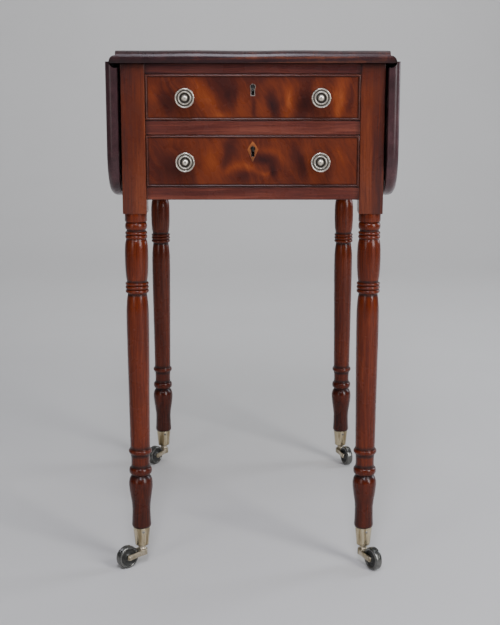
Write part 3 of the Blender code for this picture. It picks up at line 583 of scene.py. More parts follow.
def make_top():
    half = top_outline()
    outline = half + [(-x, z) for x, z in reversed(half)][1:-1]
    steps = [TOP_HALF - EDGE_ROUND * (1 - math.sin(math.radians(a))) for a in range(0, 91, 9)]
    inner = [-(TOP_HALF - EDGE_ROUND) * (1 - i / 12) for i in range(1, 24)]
    slices = [-y for y in reversed(steps)] + [y for y in inner if abs(y) < steps[0] - 0.004] + steps
    loops = []
    for y in slices:
        over = max(0.0, abs(y) - (TOP_HALF - EDGE_ROUND))
        limit = TOP_HIGH.z - EDGE_ROUND + math.sqrt(max(0.0, EDGE_ROUND ** 2 - over ** 2))
        near_end = ease(abs(y), TOP_HALF - 0.10, TOP_HALF)
        loops.append([(x, TOP_Y + y, min(z, limit) + warp(x) * near_end * (z > TOP_LOW.z + 0.001))
                      for x, z in outline])
    shape = bmesh.new()
    loft(shape, loops)
    bmesh.ops.recalc_face_normals(shape, faces=shape.faces)
    tools = []
    for side_name, side in SIDES.items():
        for end in ENDS:
            tools += hinge_cutters(side_name, side, end)
    shape = carve(shape, tools)

    def grime(point):
        # Painted shade: darker on the lower part of the edges and the underside, under the slab, and on the
        # rounded ends where the leaves hang.
        under = ease(TOP_HIGH.z - point.z, 0.010, 0.0155) * 0.5
        side = ease(abs(point.x), AXIS_X - 0.001, AXIS_X + 0.003) * 0.35
        return under + side

    def tone(point):
        """The lower half of the front edge is rubbed to a warmer brown right of the middle."""
        front = ease(TOP_Y - point.y, TOP_HALF - 0.012, TOP_HALF - 0.004)
        warm = ease(point.x, -0.045, 0.0) * (1 - ease(point.x, 0.11, 0.16))
        warm *= ease(TOP_HIGH.z - point.z, 0.006, 0.010)
        return front * (1.10 * warm - 0.20 - 0.25 * ease(-point.x, 0.05, 0.14))

    add_piece("table_top_fine", shape, TOP_WOOD, "carcass", "top_mahogany", "table_top",
              tone=tone, grime=grime, weighted=True)


# ---------------------------------------------------------------- leaves

LEAF_CORNER = 0.062


def leaf_levels(face, under):
    """Distances of the loops from the hinge axis, across the thickness of the hanging leaf."""
    rounding = [face - EDGE_ROUND * (1 - math.cos(math.radians(a))) for a in range(0, 91, 9)]
    cove = [COVE_R * math.cos(math.radians(a)) for a in range(3, 106, 8)]
    levels = sorted({round(x, 5) for x in rounding + cove + [under + 0.0008, under]
                     if under <= x <= face}, reverse=True)
    return levels


def leaf_loop(level, face, under, foot, lip):
    """The leaf's outline in Y and Z at one level: its free edges are rounded on the face side."""
    inset = 0.0
    if level > face - EDGE_ROUND:
        run = level - (face - EDGE_ROUND)
        inset = EDGE_ROUND - math.sqrt(max(0.0, EDGE_ROUND ** 2 - run ** 2))
    if level < under + 0.0004:
        inset = 0.0008
    top = lip
    if level < COVE_R:
        top = min(lip, -math.sqrt(COVE_R ** 2 - level ** 2))
    half, radius = TOP_HALF - inset, LEAF_CORNER - inset
    bottom = foot + inset
    corner = arc(half - radius, bottom + radius, radius, 0, -90, 18)
    side = [(half, top - (top - (bottom + radius)) * t / 10) for t in range(10)]
    right = side + corner + [((half - radius) * (1 - t / 8), bottom) for t in range(1, 9)]
    left = [(-y, z) for y, z in reversed(right)][1:]
    across = [(-half * (1 - t / 12), top) for t in range(1, 24)]
    return right + left + across


def make_leaf(side_name, side):
    low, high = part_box("leaf_" + side_name)
    outer = max(abs(low.x), abs(high.x)) - AXIS_X
    inner = min(abs(low.x), abs(high.x)) - AXIS_X
    foot, lip = low.z - AXIS_Z, high.z - AXIS_Z
    shape = bmesh.new()
    loops = []
    for level in leaf_levels(outer, inner):
        x = side * (AXIS_X + level)
        loops.append([(x, TOP_Y + y, AXIS_Z + z)
                      for y, z in leaf_loop(level, outer, inner, foot, lip)])
    loft(shape, loops)
    bmesh.ops.recalc_face_normals(shape, faces=shape.faces)
    tools = []
    for end in ENDS:
        a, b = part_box(f"leaf_hinge_{side_name}_{end}")
        left, right = (SEAT_REACH, PLATE_GAP) if side > 0 else (PLATE_GAP, SEAT_REACH)
        tools.append(box_shape((a.x - left, a.y - PLATE_GAP, a.z - PLATE_GAP),
                               (b.x + right, b.y + PLATE_GAP, AXIS_Z), 0))
    shape = carve(shape, tools)

    def grime(point):
        # Darker along the free edges, and painted shade towards the hinge, where the leaf hangs under the top's
        # rounded edge.
        edge = ease(TOP_HALF - abs(point.y - TOP_Y), 0.0, 0.006)
        return 0.45 * (1 - edge) + 0.5 * (1 - ease(AXIS_Z - point.z, 0.0, 0.008))

    def tone(point):
        return 0.5 * noise.noise(Vector((point.y * 6, point.z * 20, side * 5.0)))

    add_piece(f"leaf_{side_name}_fine", shape, LEAF_WOOD, "leaf_" + side_name, "top_mahogany",
              "leaf_" + side_name, tone=tone, grime=grime, weighted=True)


# ---------------------------------------------------------------- hinges

def screw_shape(radius, height):
    """A slotted countersunk screw head about Z, its slightly domed face at z = height."""
    profile = [(0.0, height), (radius * 0.55, height * 0.95), (radius * 0.9, height * 0.6),
               (radius, height * 0.2), (radius, -0.0006), (0.0, -0.0006)]
    width = radius * 0.14
    slot = box_shape((-2 * radius, -width, height * 0.15), (2 * radius, width, 2 * height), 0)
    return carve(lathe(profile, 24), [slot])


def hinge_screws(side_name, side, end):
    """Three screws through each plate, their heads flush with its lower or inner face."""
    low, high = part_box(f"hinge_plate_{side_name}_{end}")
    turn = Matrix.Rotation(math.pi, 4, "X")
    shapes = []
    for i, (across, down) in enumerate(((0.35, 0.25), (0.72, 0.5), (0.35, 0.75))):
        x = high.x + (low.x - high.x) * across if side > 0 else low.x + (high.x - low.x) * across
        place = Matrix.Translation((x, low.y + (high.y - low.y) * down, AXIS_Z - PLATE_UNDER))
        spin = Matrix.Rotation(0.7 * i + side, 4, "Z")
        shapes.append(placed(screw_shape(0.0026, 0.0002), place @ spin @ turn))
    add_piece(f"plate_screws_{side_name}_{end}", merged(*shapes), STEEL, "carcass", "steel")
    low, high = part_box(f"leaf_hinge_{side_name}_{end}")
    shapes = []
    face = side * (AXIS_X - PLATE_UNDER)
    turn = Matrix.Rotation(-side * math.pi / 2, 4, "Y")
    for i, (along_y, down) in enumerate(((0.25, 0.35), (0.5, 0.75), (0.75, 0.35))):
        place = Matrix.Translation((face, low.y + (high.y - low.y) * along_y,
                                    high.z - (high.z - low.z) * down))
        spin = Matrix.Rotation(0.9 * i + end.count("r"), 4, "Z")
        shapes.append(placed(screw_shape(0.0026, 0.0002), place @ turn @ spin))
    add_piece(f"leaf_plate_screws_{side_name}_{end}", merged(*shapes), STEEL,
              "leaf_" + side_name, "steel")


# ---------------------------------------------------------------- legs

def leg_profile():
    """The turning below the square post: a barrel, a long tapering shaft and a vase, with rings."""
    barrel = curve([(0.0138, 0.4671), (0.0149, 0.4635), (0.0157, 0.4560), (0.0160, 0.4430),
                    (0.0158, 0.4300), (0.0151, 0.4180), (0.0140, 0.4102)], 5)
    shaft = curve([(0.0131, 0.3919), (0.0143, 0.3842), (0.0153, 0.3710), (0.0155, 0.3560),
                   (0.0154, 0.3300), (0.0149, 0.2800), (0.0142, 0.2200), (0.0137, 0.1724)], 6)
    vase = curve([(0.0126, 0.1328), (0.0150, 0.1292), (0.01655, 0.1240), (0.01675, 0.1195),
                  (0.0164, 0.1140), (0.0154, 0.1057), (0.0139, 0.0960), (0.0129, 0.0860),
                  (0.0129, 0.0770), (0.0132, 0.0670), (0.0136, 0.0600)], 5)
    return [
        (0.0, 0.5060),
        (0.0148, 0.5060),
        (0.0150, 0.5025),
        *arc(0.0142, 0.4923, 0.0008, 0, -90, 3),
        *ring(0.4903, 0.4808, 0.0132, 0.0150),
        (0.0130, 0.4795),
        *ring(0.4782, 0.4737, 0.0130, 0.0150),
        *ring(0.4733, 0.4682, 0.0135, 0.0150),
        *barrel,
        *ring(0.4087, 0.4044, 0.0138, 0.0160),
        *ring(0.4041, 0.3991, 0.0138, 0.0160),
        *ring(0.3988, 0.3937, 0.0138, 0.0160),
        *shaft,
        (0.0146, 0.1719),
        (0.0149, 0.1711),
        *ring(0.1708, 0.1656, 0.0149, 0.0162),
        (0.0149, 0.1652),
        (0.0145, 0.1643),
        *curve([(0.0134, 0.1634), (0.0130, 0.1590), (0.0129, 0.1520), (0.0131, 0.1465)], 4),
        *ring(0.1452, 0.1345, 0.0134, 0.0161),
        *vase,
        (0.01355, 0.0588),
        (0.0132, 0.0573),
        (0.0123, 0.0561),
        (0.0101, 0.0558),
        (0.0090, 0.0420),
        (0.0, 0.0420),
    ]


LEG_PROFILE = leg_profile()
POST_HALF = 0.016                           # a leg's box is wider: it also holds the turning
POST_FOOT = 0.5030
POST_SKIN = 0.0149                          # the post's faces are further than this from its axis


def leg_radius(height):
    """Radius of the turning at a height."""
    for (ra, za), (rb, zb) in zip(LEG_PROFILE[1:], LEG_PROFILE[2:]):
        if zb <= height <= za and za > zb:
            return ra + (rb - ra) * (za - height) / (za - zb)
    return 0.0


def groove_depth(point, centre):
    """How far a point of a turning lies below its neighbours, along the leg."""
    radius = math.hypot(point.x - centre[0], point.y - centre[1])
    around = max(leg_radius(point.z + step) for step in (-0.004, -0.002, 0.002, 0.004))
    return around - radius


def make_leg(end_name, side_name):
    name = f"leg_{end_name}_{side_name}"
    low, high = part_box(name)
    centre = ((low.x + high.x) / 2, (low.y + high.y) / 2)
    post = box_shape((centre[0] - POST_HALF, centre[1] - POST_HALF, POST_FOOT),
                     (centre[0] + POST_HALF, centre[1] + POST_HALF, high.z), 0.0009)
    slice_up(post, "Z", [high.z - step for step in (0.003, 0.008, 0.016, 0.030, 0.050, 0.090)])
    slice_up(post, "X", [centre[0] + step for step in (-0.011, -0.004, 0.004, 0.011)])
    turning = lathe(LEG_PROFILE, 72)
    shape = merged(post, placed(turning, Matrix.Translation((*centre, 0.0))))

    def grime(point):
        # Painted shade: the post darkens just under the top, the turning in its grooves, and the foot where it
        # goes into the cup.
        if point.z > POST_FOOT - 0.0005:
            return 0.55 * (1 - ease(high.z - point.z, 0.0, 0.010))
        shadow = ease(groove_depth(point, centre), 0.0004, 0.0022)
        return 0.85 * shadow + 0.5 * (1 - ease(point.z, 0.055, 0.060))

    def tone(point):
        """Darker under the top, as painted shade, and towards the foot; the right posts are warm on the inside and
        dark outside, painted shade, and the left posts a little so.
        """
        if point.z < POST_FOOT:
            return 0.15 - 0.75 * (1 - ease(point.z, 0.070, 0.200))
        inner = ease((centre[0] - point.x) * SIDES[side_name], -0.014, 0.010)
        side = 0.70 * inner - 0.60 if side_name == "right" else 0.30 * inner - 0.10
        return side - 0.45 * ease(point.z, high.z - 0.040, high.z)

    piece = add_piece(name + "_fine", shape, LEG_WOOD, "carcass", "mahogany", name,
                      tone=tone, grime=grime, angle=40)
    piece.data.materials.append(POST_WOOD)
    for face in piece.data.polygons:
        out = max(abs(face.center.x - centre[0]), abs(face.center.y - centre[1]))
        if face.center.z > POST_FOOT - 0.0002 and out > POST_SKIN:
            face.material_index = 1


# ---------------------------------------------------------------- carcass

INSIDE_X = 0.1415                           # inner faces of the posts


def make_rail(name, lift, shade):
    """A front rail: darker along its edges and at its ends, shifted darker or lighter as a whole by shade, and a
    warmer lower half if lifted.
    """
    low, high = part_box(name)
    across = [side * x for side in (-1, 1) for x in (0.05, 0.10, 0.134, INSIDE_X - 0.0010)]
    up = [low.z + 0.0006, low.z + 0.0020, (low.z + high.z) / 2, high.z - 0.0020, high.z - 0.0006]

    def grime(point):
        edge = min(point.z - low.z, high.z - point.z)
        post = INSIDE_X - abs(point.x)
        return 0.55 * (1 - ease(edge, 0.0, 0.0018)) + 0.60 * (1 - ease(post, 0.0, 0.006))

    def tone(point):
        return shade + lift * (1 - ease(point.z, low.z, high.z)) - 0.25 * lift

    refine(name, RAIL_WOOD, 0.0004, [("X", across), ("Z", up)], grime=grime, tone=tone)


def make_carcass():
    # The top rail is made much darker: painted shade under the top.
    make_rail("top_rail", 0.2, -0.8)
    make_rail("middle_rail", 0.2, 0.0)
    make_rail("bottom_rail", 0.3, 0.1)
    for side_name in SIDES:
        refine("side_panel_" + side_name, PANEL_WOOD, 0.0005)
        refine("fly_rail_" + side_name, PANEL_WOOD, 0.0005)
        refine("fly_bracket_" + side_name, PANEL_WOOD, 0.0005)
        refine("drawer_runner_" + side_name, PINE, 0.0004)
    refine("back_panel", BACK_WOOD, 0.0006)
    refine("dust_board", PINE, 0.0005)


# ---------------------------------------------------------------- drawer fronts

BEAD = 0.0028
BEAD_PROUD = 0.0015
VENEER_THICK = 0.0007


def bead_section():
    """The cockbead's section: how far in from the edge, and how far behind its rounded nose."""
    nose = [(BEAD / 2 - BEAD / 2 * math.cos(math.radians(a)),
             BEAD / 2 - BEAD / 2 * math.sin(math.radians(a))) for a in range(0, 181, 20)]
    deep = BEAD_PROUD + 2 * VENEER_THICK
    return [(0.0, deep), *nose, (BEAD, deep)]


def make_cockbead(prefix, low, high, body):
    """The beading round a drawer front, mitred at its corners."""
    corners = [((low.x, low.z), (1, 1)), ((high.x, low.z), (-1, 1)),
               ((high.x, high.z), (-1, -1)), ((low.x, high.z), (1, -1))]
    front = low.y
    shape = bmesh.new()
    loops = []
    for i in range(4):
        (xa, za), (ua, va) = corners[i]
        xb, zb = corners[(i + 1) % 4][0]
        upright_run = i % 2 == 1
        steps = 6 if upright_run else 24
        for t in (step / steps for step in range(steps)):
            x, z = xa + (xb - xa) * t, za + (zb - za) * t
            if t == 0:
                u, v = ua, va
            else:
                u, v = (ua, 0) if upright_run else (0, va)
            dent = 0.00012 * noise.noise(Vector((x * 70, z * 70, front)))
            loops.append([(x + u * across, front + back + dent, z + v * across)
                          for across, back in bead_section()])
    rows = loft(shape, loops, caps=False)
    for i in range(len(rows[0])):
        j = (i + 1) % len(rows[0])
        shape.faces.new((rows[-1][i], rows[-1][j], rows[0][j], rows[0][i]))
    bmesh.ops.recalc_face_normals(shape, faces=shape.faces)

    def grime(point):
        # Painted shade: darker behind the bead's nose, in the crease by the veneer, and on all runs but the top
        # one, which stays lit.
        near = min(high.x - point.x, point.x - low.x, high.z - point.z, point.z - low.z)
        hollow = ease(near, BEAD * 0.7, BEAD) * ease(point.y, front + 0.0006, front + 0.0014)
        lit_top_bead = ease(point.z, high.z - 0.008, high.z - BEAD)
        return 0.6 * hollow + 0.35 * (1 - lit_top_bead)

    add_piece(prefix + "_cockbead", shape, BEAD_WOOD, body, "mahogany", grime=grime, angle=50)


def blot(x, z, centre, size, lean=0.0):
    """A soft oval patch, 1 at its centre."""
    dx, dz = x - centre[0], z - centre[1]
    c, s = math.cos(math.radians(lean)), math.sin(math.radians(lean))
    u, v = (dx * c + dz * s) / size[0], (-dx * s + dz * c) / size[1]
    return math.exp(-(u * u + v * v))


def waver(x, z, size, seed):
    """Moves a point a little, so that drawn patches lose their regular outlines."""
    here = Vector((x * 38, z * 30, seed))
    return (x + size * noise.noise(here) + 0.4 * size * noise.noise(here * 2.7),
            z + size * noise.noise(here + Vector((7.0, 3.0, 1.0))))


def sweep(x, z, centre, radius, width, angles):
    """A curved stroke about a centre, 1 along its middle, that fades at both of its angles."""
    dx, dz = x - centre[0], z - centre[1]
    angle = math.degrees(math.atan2(dz, dx))
    low, high = angles
    inside = ease(angle, low, low + 35) * (1 - ease(angle, high - 35, high))
    return inside * math.exp(-((math.hypot(dx, dz) - radius) / width) ** 2)


def upper_figure_and_knob_shadows(x, z):
    """The flame of the upper drawer, about its own middle: bright plumes between dark ones, with the knobs'
    shadows painted in.
    """
    x, z = waver(x, z, 0.006, 1.0)
    tone = 0.25 * blot(x, z, (-0.132, 0.006), (0.008, 0.026))
    # Painted shadow of the left knob, down and to its left.
    tone -= 0.45 * blot(x, z, (-0.112, -0.004), (0.018, 0.022), 10)
    tone += 0.55 * blot(x, z, (-0.066, 0.002), (0.016, 0.028), 20)
    tone -= 0.85 * blot(x, z, (-0.034, 0.008), (0.011, 0.024), 35)
    tone += 0.55 * blot(x, z, (-0.040, -0.024), (0.016, 0.005))
    tone += 0.50 * blot(x, z, (-0.014, -0.016), (0.007, 0.014), 20)
    tone -= 0.60 * blot(x, z, (0.001, -0.012), (0.0028, 0.016), 4)
    tone += 0.35 * blot(x, z, (0.012, -0.010), (0.006, 0.022), 10)
    tone -= 1.00 * blot(x, z, (0.029, -0.012), (0.007, 0.016), 20)
    tone += 0.90 * blot(x, z, (0.046, -0.008), (0.009, 0.024), -8)
    # Painted shadow of the right knob, over a darker plume.
    tone -= 0.55 * blot(x, z, (0.068, -0.006), (0.008, 0.022))
    tone += 0.35 * blot(x, z, (0.088, 0.014), (0.010, 0.014))
    tone += 0.95 * blot(x, z, (0.114, -0.002), (0.009, 0.030), -4)
    tone -= 0.35 * blot(x, z, (0.128, 0.000), (0.004, 0.030), -5)
    return tone - 0.35 * blot(x, z, (-0.01, 0.028), (0.09, 0.008))


def lower_figure_and_knob_shadows(x, z):
    """The flame of the lower drawer: a bright streak, an arch, and dark strokes round a swirl, with the knobs'
    shadows painted in.
    """
    x, z = waver(x, z, 0.007, 4.0)
    tone = -0.25 * blot(x, z, (-0.116, 0.000), (0.024, 0.034))
    # Painted shadow of the left knob.
    tone -= 0.40 * blot(x, z, (-0.098, -0.010), (0.012, 0.016))
    tone += 0.50 * blot(x, z, (-0.054, -0.002), (0.012, 0.032), -12)
    tone -= 0.60 * blot(x, z, (-0.033, 0.012), (0.008, 0.020), -20)
    tone += 0.60 * sweep(x, z, (-0.019, -0.027), 0.020, 0.0065, (10, 170))
    tone -= 0.60 * blot(x, z, (-0.010, -0.024), (0.009, 0.007))
    tone -= 0.90 * sweep(x, z, (0.011, -0.013), 0.018, 0.0075, (-40, 140))
    tone += 0.60 * sweep(x, z, (0.013, -0.004), 0.014, 0.0030, (-140, -30))
    tone += 0.45 * sweep(x, z, (0.008, -0.018), 0.039, 0.0045, (0, 100))
    # Painted shadow of the right knob.
    tone -= 0.45 * blot(x, z, (0.060, 0.002), (0.008, 0.024), 10)
    tone += 0.50 * blot(x, z, (0.078, 0.000), (0.008, 0.032), 8)
    tone -= 0.30 * blot(x, z, (0.098, -0.006), (0.006, 0.026))
    tone += 0.30 * blot(x, z, (0.116, 0.004), (0.010, 0.034))
    return tone


def make_veneer_panel(prefix, low, high, holes, figure, body):
    """The veneered face inside the beading, drawn fine enough to carry its figure and the painted shadows of the
    knobs.
    """
    a = Vector((low.x + BEAD - 0.0002, FACE_Y, low.z + BEAD - 0.0002))
    b = Vector((high.x - BEAD + 0.0002, FACE_Y + 2 * VENEER_THICK, high.z - BEAD + 0.0002))
    across, up = 150, 32
    xs = [a.x + (b.x - a.x) * i / across for i in range(across + 1)]
    loops = []
    for j in range(up + 1):
        z = a.z + (b.z - a.z) * j / up
        loops.append([(x, a.y, z) for x in xs] + [(b.x, b.y, z), (a.x, b.y, z)])
    shape = bmesh.new()
    loft(shape, loops)
    bmesh.ops.recalc_face_normals(shape, faces=shape.faces)
    shape = carve(shape, holes)
    middle_z = (low.z + high.z) / 2

    def tone(point):
        return 1.15 * figure(point.x, point.z - middle_z)

    def grime(point):
        # Painted shade: the panel darkens within 2.2 mm of the bead.
        near = min(point.x - a.x, b.x - point.x, point.z - a.z, b.z - point.z)
        return 0.85 * (1 - ease(near, 0.0, 0.0022))

    add_piece(prefix + "_veneer", shape, VENEER, body, "flame_veneer", tone=tone, grime=grime)


def keyhole(radius, tail, tall, grow=0.0):
    r, half = radius + grow, tail / 2 + grow
    foot = radius - tall - grow
    join = math.degrees(math.acos(half / r))
    return [*arc(0.0, 0.0, r, -join, 180 + join, 24), (-half, foot), (half, foot)]


def upright(outline, depth, place, bevel=0.0):
    """A flat outline drawn in X and Z, with its depth running back from the place."""
    turn = Matrix.Translation(place) @ Matrix.Rotation(math.pi / 2, 4, "X")
    shape = prism_shape(outline, depth, bevel)
    shape.transform(Matrix.Translation((0.0, 0.0, -depth)))
    return placed(shape, turn)


def kite():
    """The inlaid kite, with sides that swell a little."""
    wide, above, below = 0.0072, 0.0097, 0.0176
    right = curve([(0.0, -below), (0.0040, -0.0085), (wide, -0.0011)], 6)
    right += curve([(wide, -0.0011), (0.0038, 0.0049), (0.0, above)], 6)[1:]
    return right + [(-x, z) for x, z in reversed(right)][1:-1]


def make_escutcheon(prefix, hole_sizes, centre, body):
    place = (0.0, FACE_Y - 0.0002, centre)
    if prefix == "upper":
        outline, finish, slot = keyhole(*hole_sizes, grow=0.0011), PALE_BRASS, "pale_brass"
    else:
        outline, finish, slot = kite(), BOXWOOD, "boxwood"
    plate = upright(outline, 0.0014, place, 0.00015)
    opening = keyhole(*hole_sizes, grow=0.0005)
    plate = carve(plate, [upright(opening, 0.01, (0.0, FACE_Y - 0.004, centre))])

    def grime(point):
        around = math.hypot(point.x, max(0.0, point.z - centre))
        if prefix == "lower":
            return 0.6 * (1 - ease(around, 0.0031, 0.0040))
        # The brass liner darkens towards its top: painted shade, leaving its lower rim lit.
        return 0.20 + 0.55 * ease(point.z, centre - 0.008, centre + 0.002)

    add_piece(prefix + "_escutcheon_fine", plate, finish, body, slot, prefix + "_escutcheon",
              grime=grime)


# ---------------------------------------------------------------- knobs

def knob_profile():
    """A turned knob from the middle of its face to its foot, as (radius, height over the front)."""
    p = 0.0220
    boss = [(0.0041 * math.sin(math.radians(a)), p - 0.0022 + 0.0024 * math.cos(math.radians(a)))
            for a in range(0, 91, 15)]
    return [
        *boss,
        (0.0042, p - 0.0028),
        *curve([(0.0048, p - 0.0034), (0.0056, p - 0.0033), (0.0063, p - 0.0022),
                (0.0070, p - 0.0010)], 3),
        *arc(0.0078, p - 0.0010, 0.0008, 180, 0, 6),
        *curve([(0.0088, p - 0.0019), (0.0094, p - 0.0023), (0.0102, p - 0.0022),
                (0.0108, p - 0.0014)], 3),
        *arc(0.0118, p - 0.0012, 0.0010, 170, 50, 5),
        *curve([(0.0128, p - 0.0015), (0.0130, p - 0.0026), (0.0127, p - 0.0038),
                (0.0116, p - 0.0048), (0.0092, p - 0.0066), (0.0064, p - 0.0092),
                (0.0052, p - 0.0125), (0.0050, p - 0.0155), (0.0056, p - 0.0180)], 4),
        *arc(0.0064, 0.0022, 0.0012, 90, 0, 4),
        (0.0077, 0.0006),
        (0.0077, 0.0003),
        (0.0, 0.0003),
    ]


def make_knob(prefix, side_name, body):
    name = f"{prefix}_knob_{side_name}"
    low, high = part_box(name)
    centre = ((low.x + high.x) / 2, (low.z + high.z) / 2)

    def beads(radius, height, angle):
        """The fine beading in the groove of the face."""
        if height < 0.015 or not 0.0091 < radius < 0.0105:
            return 0.0
        return 0.00013 * math.cos(40 * angle)

    spin = Matrix.Rotation(0.3 * centre[0] * 100, 4, "Z")
    place = Matrix.Translation((centre[0], FACE_Y, centre[1]))
    shape = placed(lathe(knob_profile(), 160, beads),
                   place @ Matrix.Rotation(math.pi / 2, 4, "X") @ spin)

    def grime(point):
        radius = math.hypot(point.x - centre[0], point.z - centre[1])
        height = FACE_Y - point.y
        if height < 0.015:
            return 0.45 + 0.4 * (1 - ease(height, 0.002, 0.012))
        dish = blot(radius, 0.0, (0.0056, 0.0), (0.0014, 1.0))
        groove = blot(radius, 0.0, (0.0098, 0.0), (0.0011, 1.0))
        return 1.35 * dish + 1.05 * groove

    add_piece(name + "_fine", shape, PALE_BRASS, body, "pale_brass", name, grime=grime,
              angle=60)


# ---------------------------------------------------------------- drawers

def make_dovetails(prefix, side_name, side, body):
    """Tails of a drawer side, let into the end of the front: thin oak wedges on the end grain."""
    low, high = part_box(f"{prefix}_drawer_side_{side_name}")
    face = low.x if side < 0 else high.x
    joint_y = FACE_Y + FRONT_THICK
    shapes = []
    tails = 3
    pitch = (high.z - low.z) / tails
    for i in range(tails):
        z = low.z + pitch * (i + 0.5)
        outline = [(joint_y + 0.0004, z - pitch * 0.26), (joint_y - 0.0110, z - pitch * 0.40),
                   (joint_y - 0.0110, z + pitch * 0.40), (joint_y + 0.0004, z + pitch * 0.26)]
        shape = bmesh.new()
        loft(shape, [[(face - side * 0.0006, y, w) for y, w in outline],
                     [(face + side * 0.00025, y, w) for y, w in outline]])
        bmesh.ops.recalc_face_normals(shape, faces=shape.faces)
        shapes.append(shape)
    add_piece(f"{prefix}_dovetails_{side_name}", merged(*shapes), OAK_Y, body, "secondary_wood")


def make_drawer(prefix, hole_sizes, hole_z, figure):
    body = prefix + "_drawer"
    low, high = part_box(prefix + "_drawer_front")
    seat = keyhole(*hole_sizes, grow=0.0012) if prefix == "upper" else kite()
    seat_hole = upright(seat, 0.02, (0.0, FACE_Y - 0.005, hole_z))
    make_veneer_panel(prefix, low, high, [seat_hole], figure, body)
    make_cockbead(prefix, low, high, body)

    core = bmesh.new()
    core.from_mesh(NODES[prefix + "_drawer_front"].data)
    bmesh.ops.remove_doubles(core, verts=core.verts, dist=0.00001)
    face = box_shape((low.x - 0.01, low.y - 0.01, low.z - 0.01),
                     (high.x + 0.01, FACE_Y + 0.0010, high.z + 0.01), 0)
    core = carve(core, [face])

    def grime(point):
        """The walls of the keyhole are painted black: painted shade inside the hole."""
        return 1.0 if abs(point.x) < 0.008 and abs(point.z - hole_z) < 0.020 else 0.0

    add_piece(prefix + "_drawer_front_fine", core, RAIL_WOOD, body, "mahogany",
              prefix + "_drawer_front", grime=grime)
    make_escutcheon(prefix, hole_sizes, hole_z, body)
    for side_name, side in SIDES.items():
        make_knob(prefix, side_name, body)
        refine(f"{prefix}_drawer_side_{side_name}", OAK_Y, 0.0005)
        make_dovetails(prefix, side_name, side, body)
    refine(prefix + "_drawer_back", OAK_X, 0.0005)
    refine(prefix + "_drawer_bottom", OAK_X, 0.0004)
    make_lock(prefix, body)
    make_knob_nuts(prefix, body)


def make_lock(prefix, body):
    low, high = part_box(prefix + "_lock_case")

    def grime(point):
        """The lock is painted black everywhere but on its back: painted shade inside the drawer."""
        return 1.0 - ease(point.y, high.y - 0.0015, high.y) * 0.9

    refine(prefix + "_lock_case", AGED_BRASS, 0.0004, grime=grime)
    refine(prefix + "_lock_bolt", STEEL, 0.0005)
    shapes = []
    for x in (low.x + 0.005, high.x - 0.005):
        for z in (low.z + 0.005, high.z - 0.007):
            place = Matrix.Translation((x, high.y, z)) @ Matrix.Rotation(-math.pi / 2, 4, "X")
            shapes.append(placed(screw_shape(0.0022, 0.0003), place))
    add_piece(prefix + "_lock_screws", merged(*shapes), STEEL, body, "steel")


def make_knob_nuts(prefix, body):
    """Square nuts on the knobs' shanks, on the back of the drawer front."""
    shapes = []
    for side_name in SIDES:
        low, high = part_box(f"{prefix}_knob_{side_name}")
        x, z = (low.x + high.x) / 2, (low.z + high.z) / 2
        y = FACE_Y + FRONT_THICK
        shapes.append(box_shape((x - 0.0045, y, z - 0.0045), (x + 0.0045, y + 0.0025, z + 0.0045),
                                0.0005))
        shapes.append(placed(lathe([(0.0, 0.0042), (0.0016, 0.0042), (0.0020, 0.0038),
                                    (0.0020, 0.0), (0.0, 0.0)], 20),
                             Matrix.Translation((x, y, z)) @ Matrix.Rotation(-math.pi / 2, 4, "X")))
    add_piece(prefix + "_knob_nuts", merged(*shapes), AGED_BRASS, body, "aged_brass")


# ---------------------------------------------------------------- castors

TRAIL = 0.0252                              # from the swivel's pin to the axle
ARM_INNER = 0.0055
ARM_THICK = 0.0022
AXLE_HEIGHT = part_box("castor_wheel_front_left")[1].z / 2


def cup_profile(low, high):
    """A slightly flared cup with a rounded lip and foot, bored below for the castor's pin."""
    top, foot = 0.0119, 0.0096
    wall = 0.0015
    return [
        (top - wall, high),
        *arc(top - 0.0005, high - 0.0004, 0.0005, 90, 0, 4),
        *curve([(top, high - 0.0012), (0.0114, high - 0.0070), (0.0106, high - 0.0150),
                (0.0099, low + 0.0040), (foot, low + 0.0012)], 5),
        *arc(foot - 0.0006, low + 0.0006, 0.0006, 0, -90, 3),
        (0.0029, low),
        (0.0029, low + 0.003),
        (0.0076, low + 0.003),
        (0.0081, low + 0.004),
    ]


def make_cup(corner):
    name = "castor_cup_" + corner
    low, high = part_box(name)
    centre = Vector(((low.x + high.x) / 2, (low.y + high.y) / 2, 0.0))
    place = Matrix.Translation(centre)
    shape = placed(lathe(cup_profile(low.z, high.z), 64), place)

    def grime(point):
        height = point.z - low.z
        top = high.z - point.z
        return 0.35 * (1 - ease(height, 0.0, 0.003)) + 0.4 * (1 - ease(top, 0.0, 0.0008))

    add_piece(name + "_fine", shape, AGED_BRASS, "carcass", "aged_brass", name, grime=grime,
              angle=45)
    shapes = []
    for angle in (-73, 107):
        turn = Matrix.Rotation(math.radians(angle), 4, "Z")
        side = Matrix.Translation((0.0115, 0.0, high.z - 0.0050))
        head = side @ Matrix.Rotation(math.pi / 2, 4, "Y")
        shapes.append(placed(screw_shape(0.0019, 0.0004), place @ turn @ head))
    add_piece("cup_screws_" + corner, merged(*shapes), STEEL, "carcass", "steel")


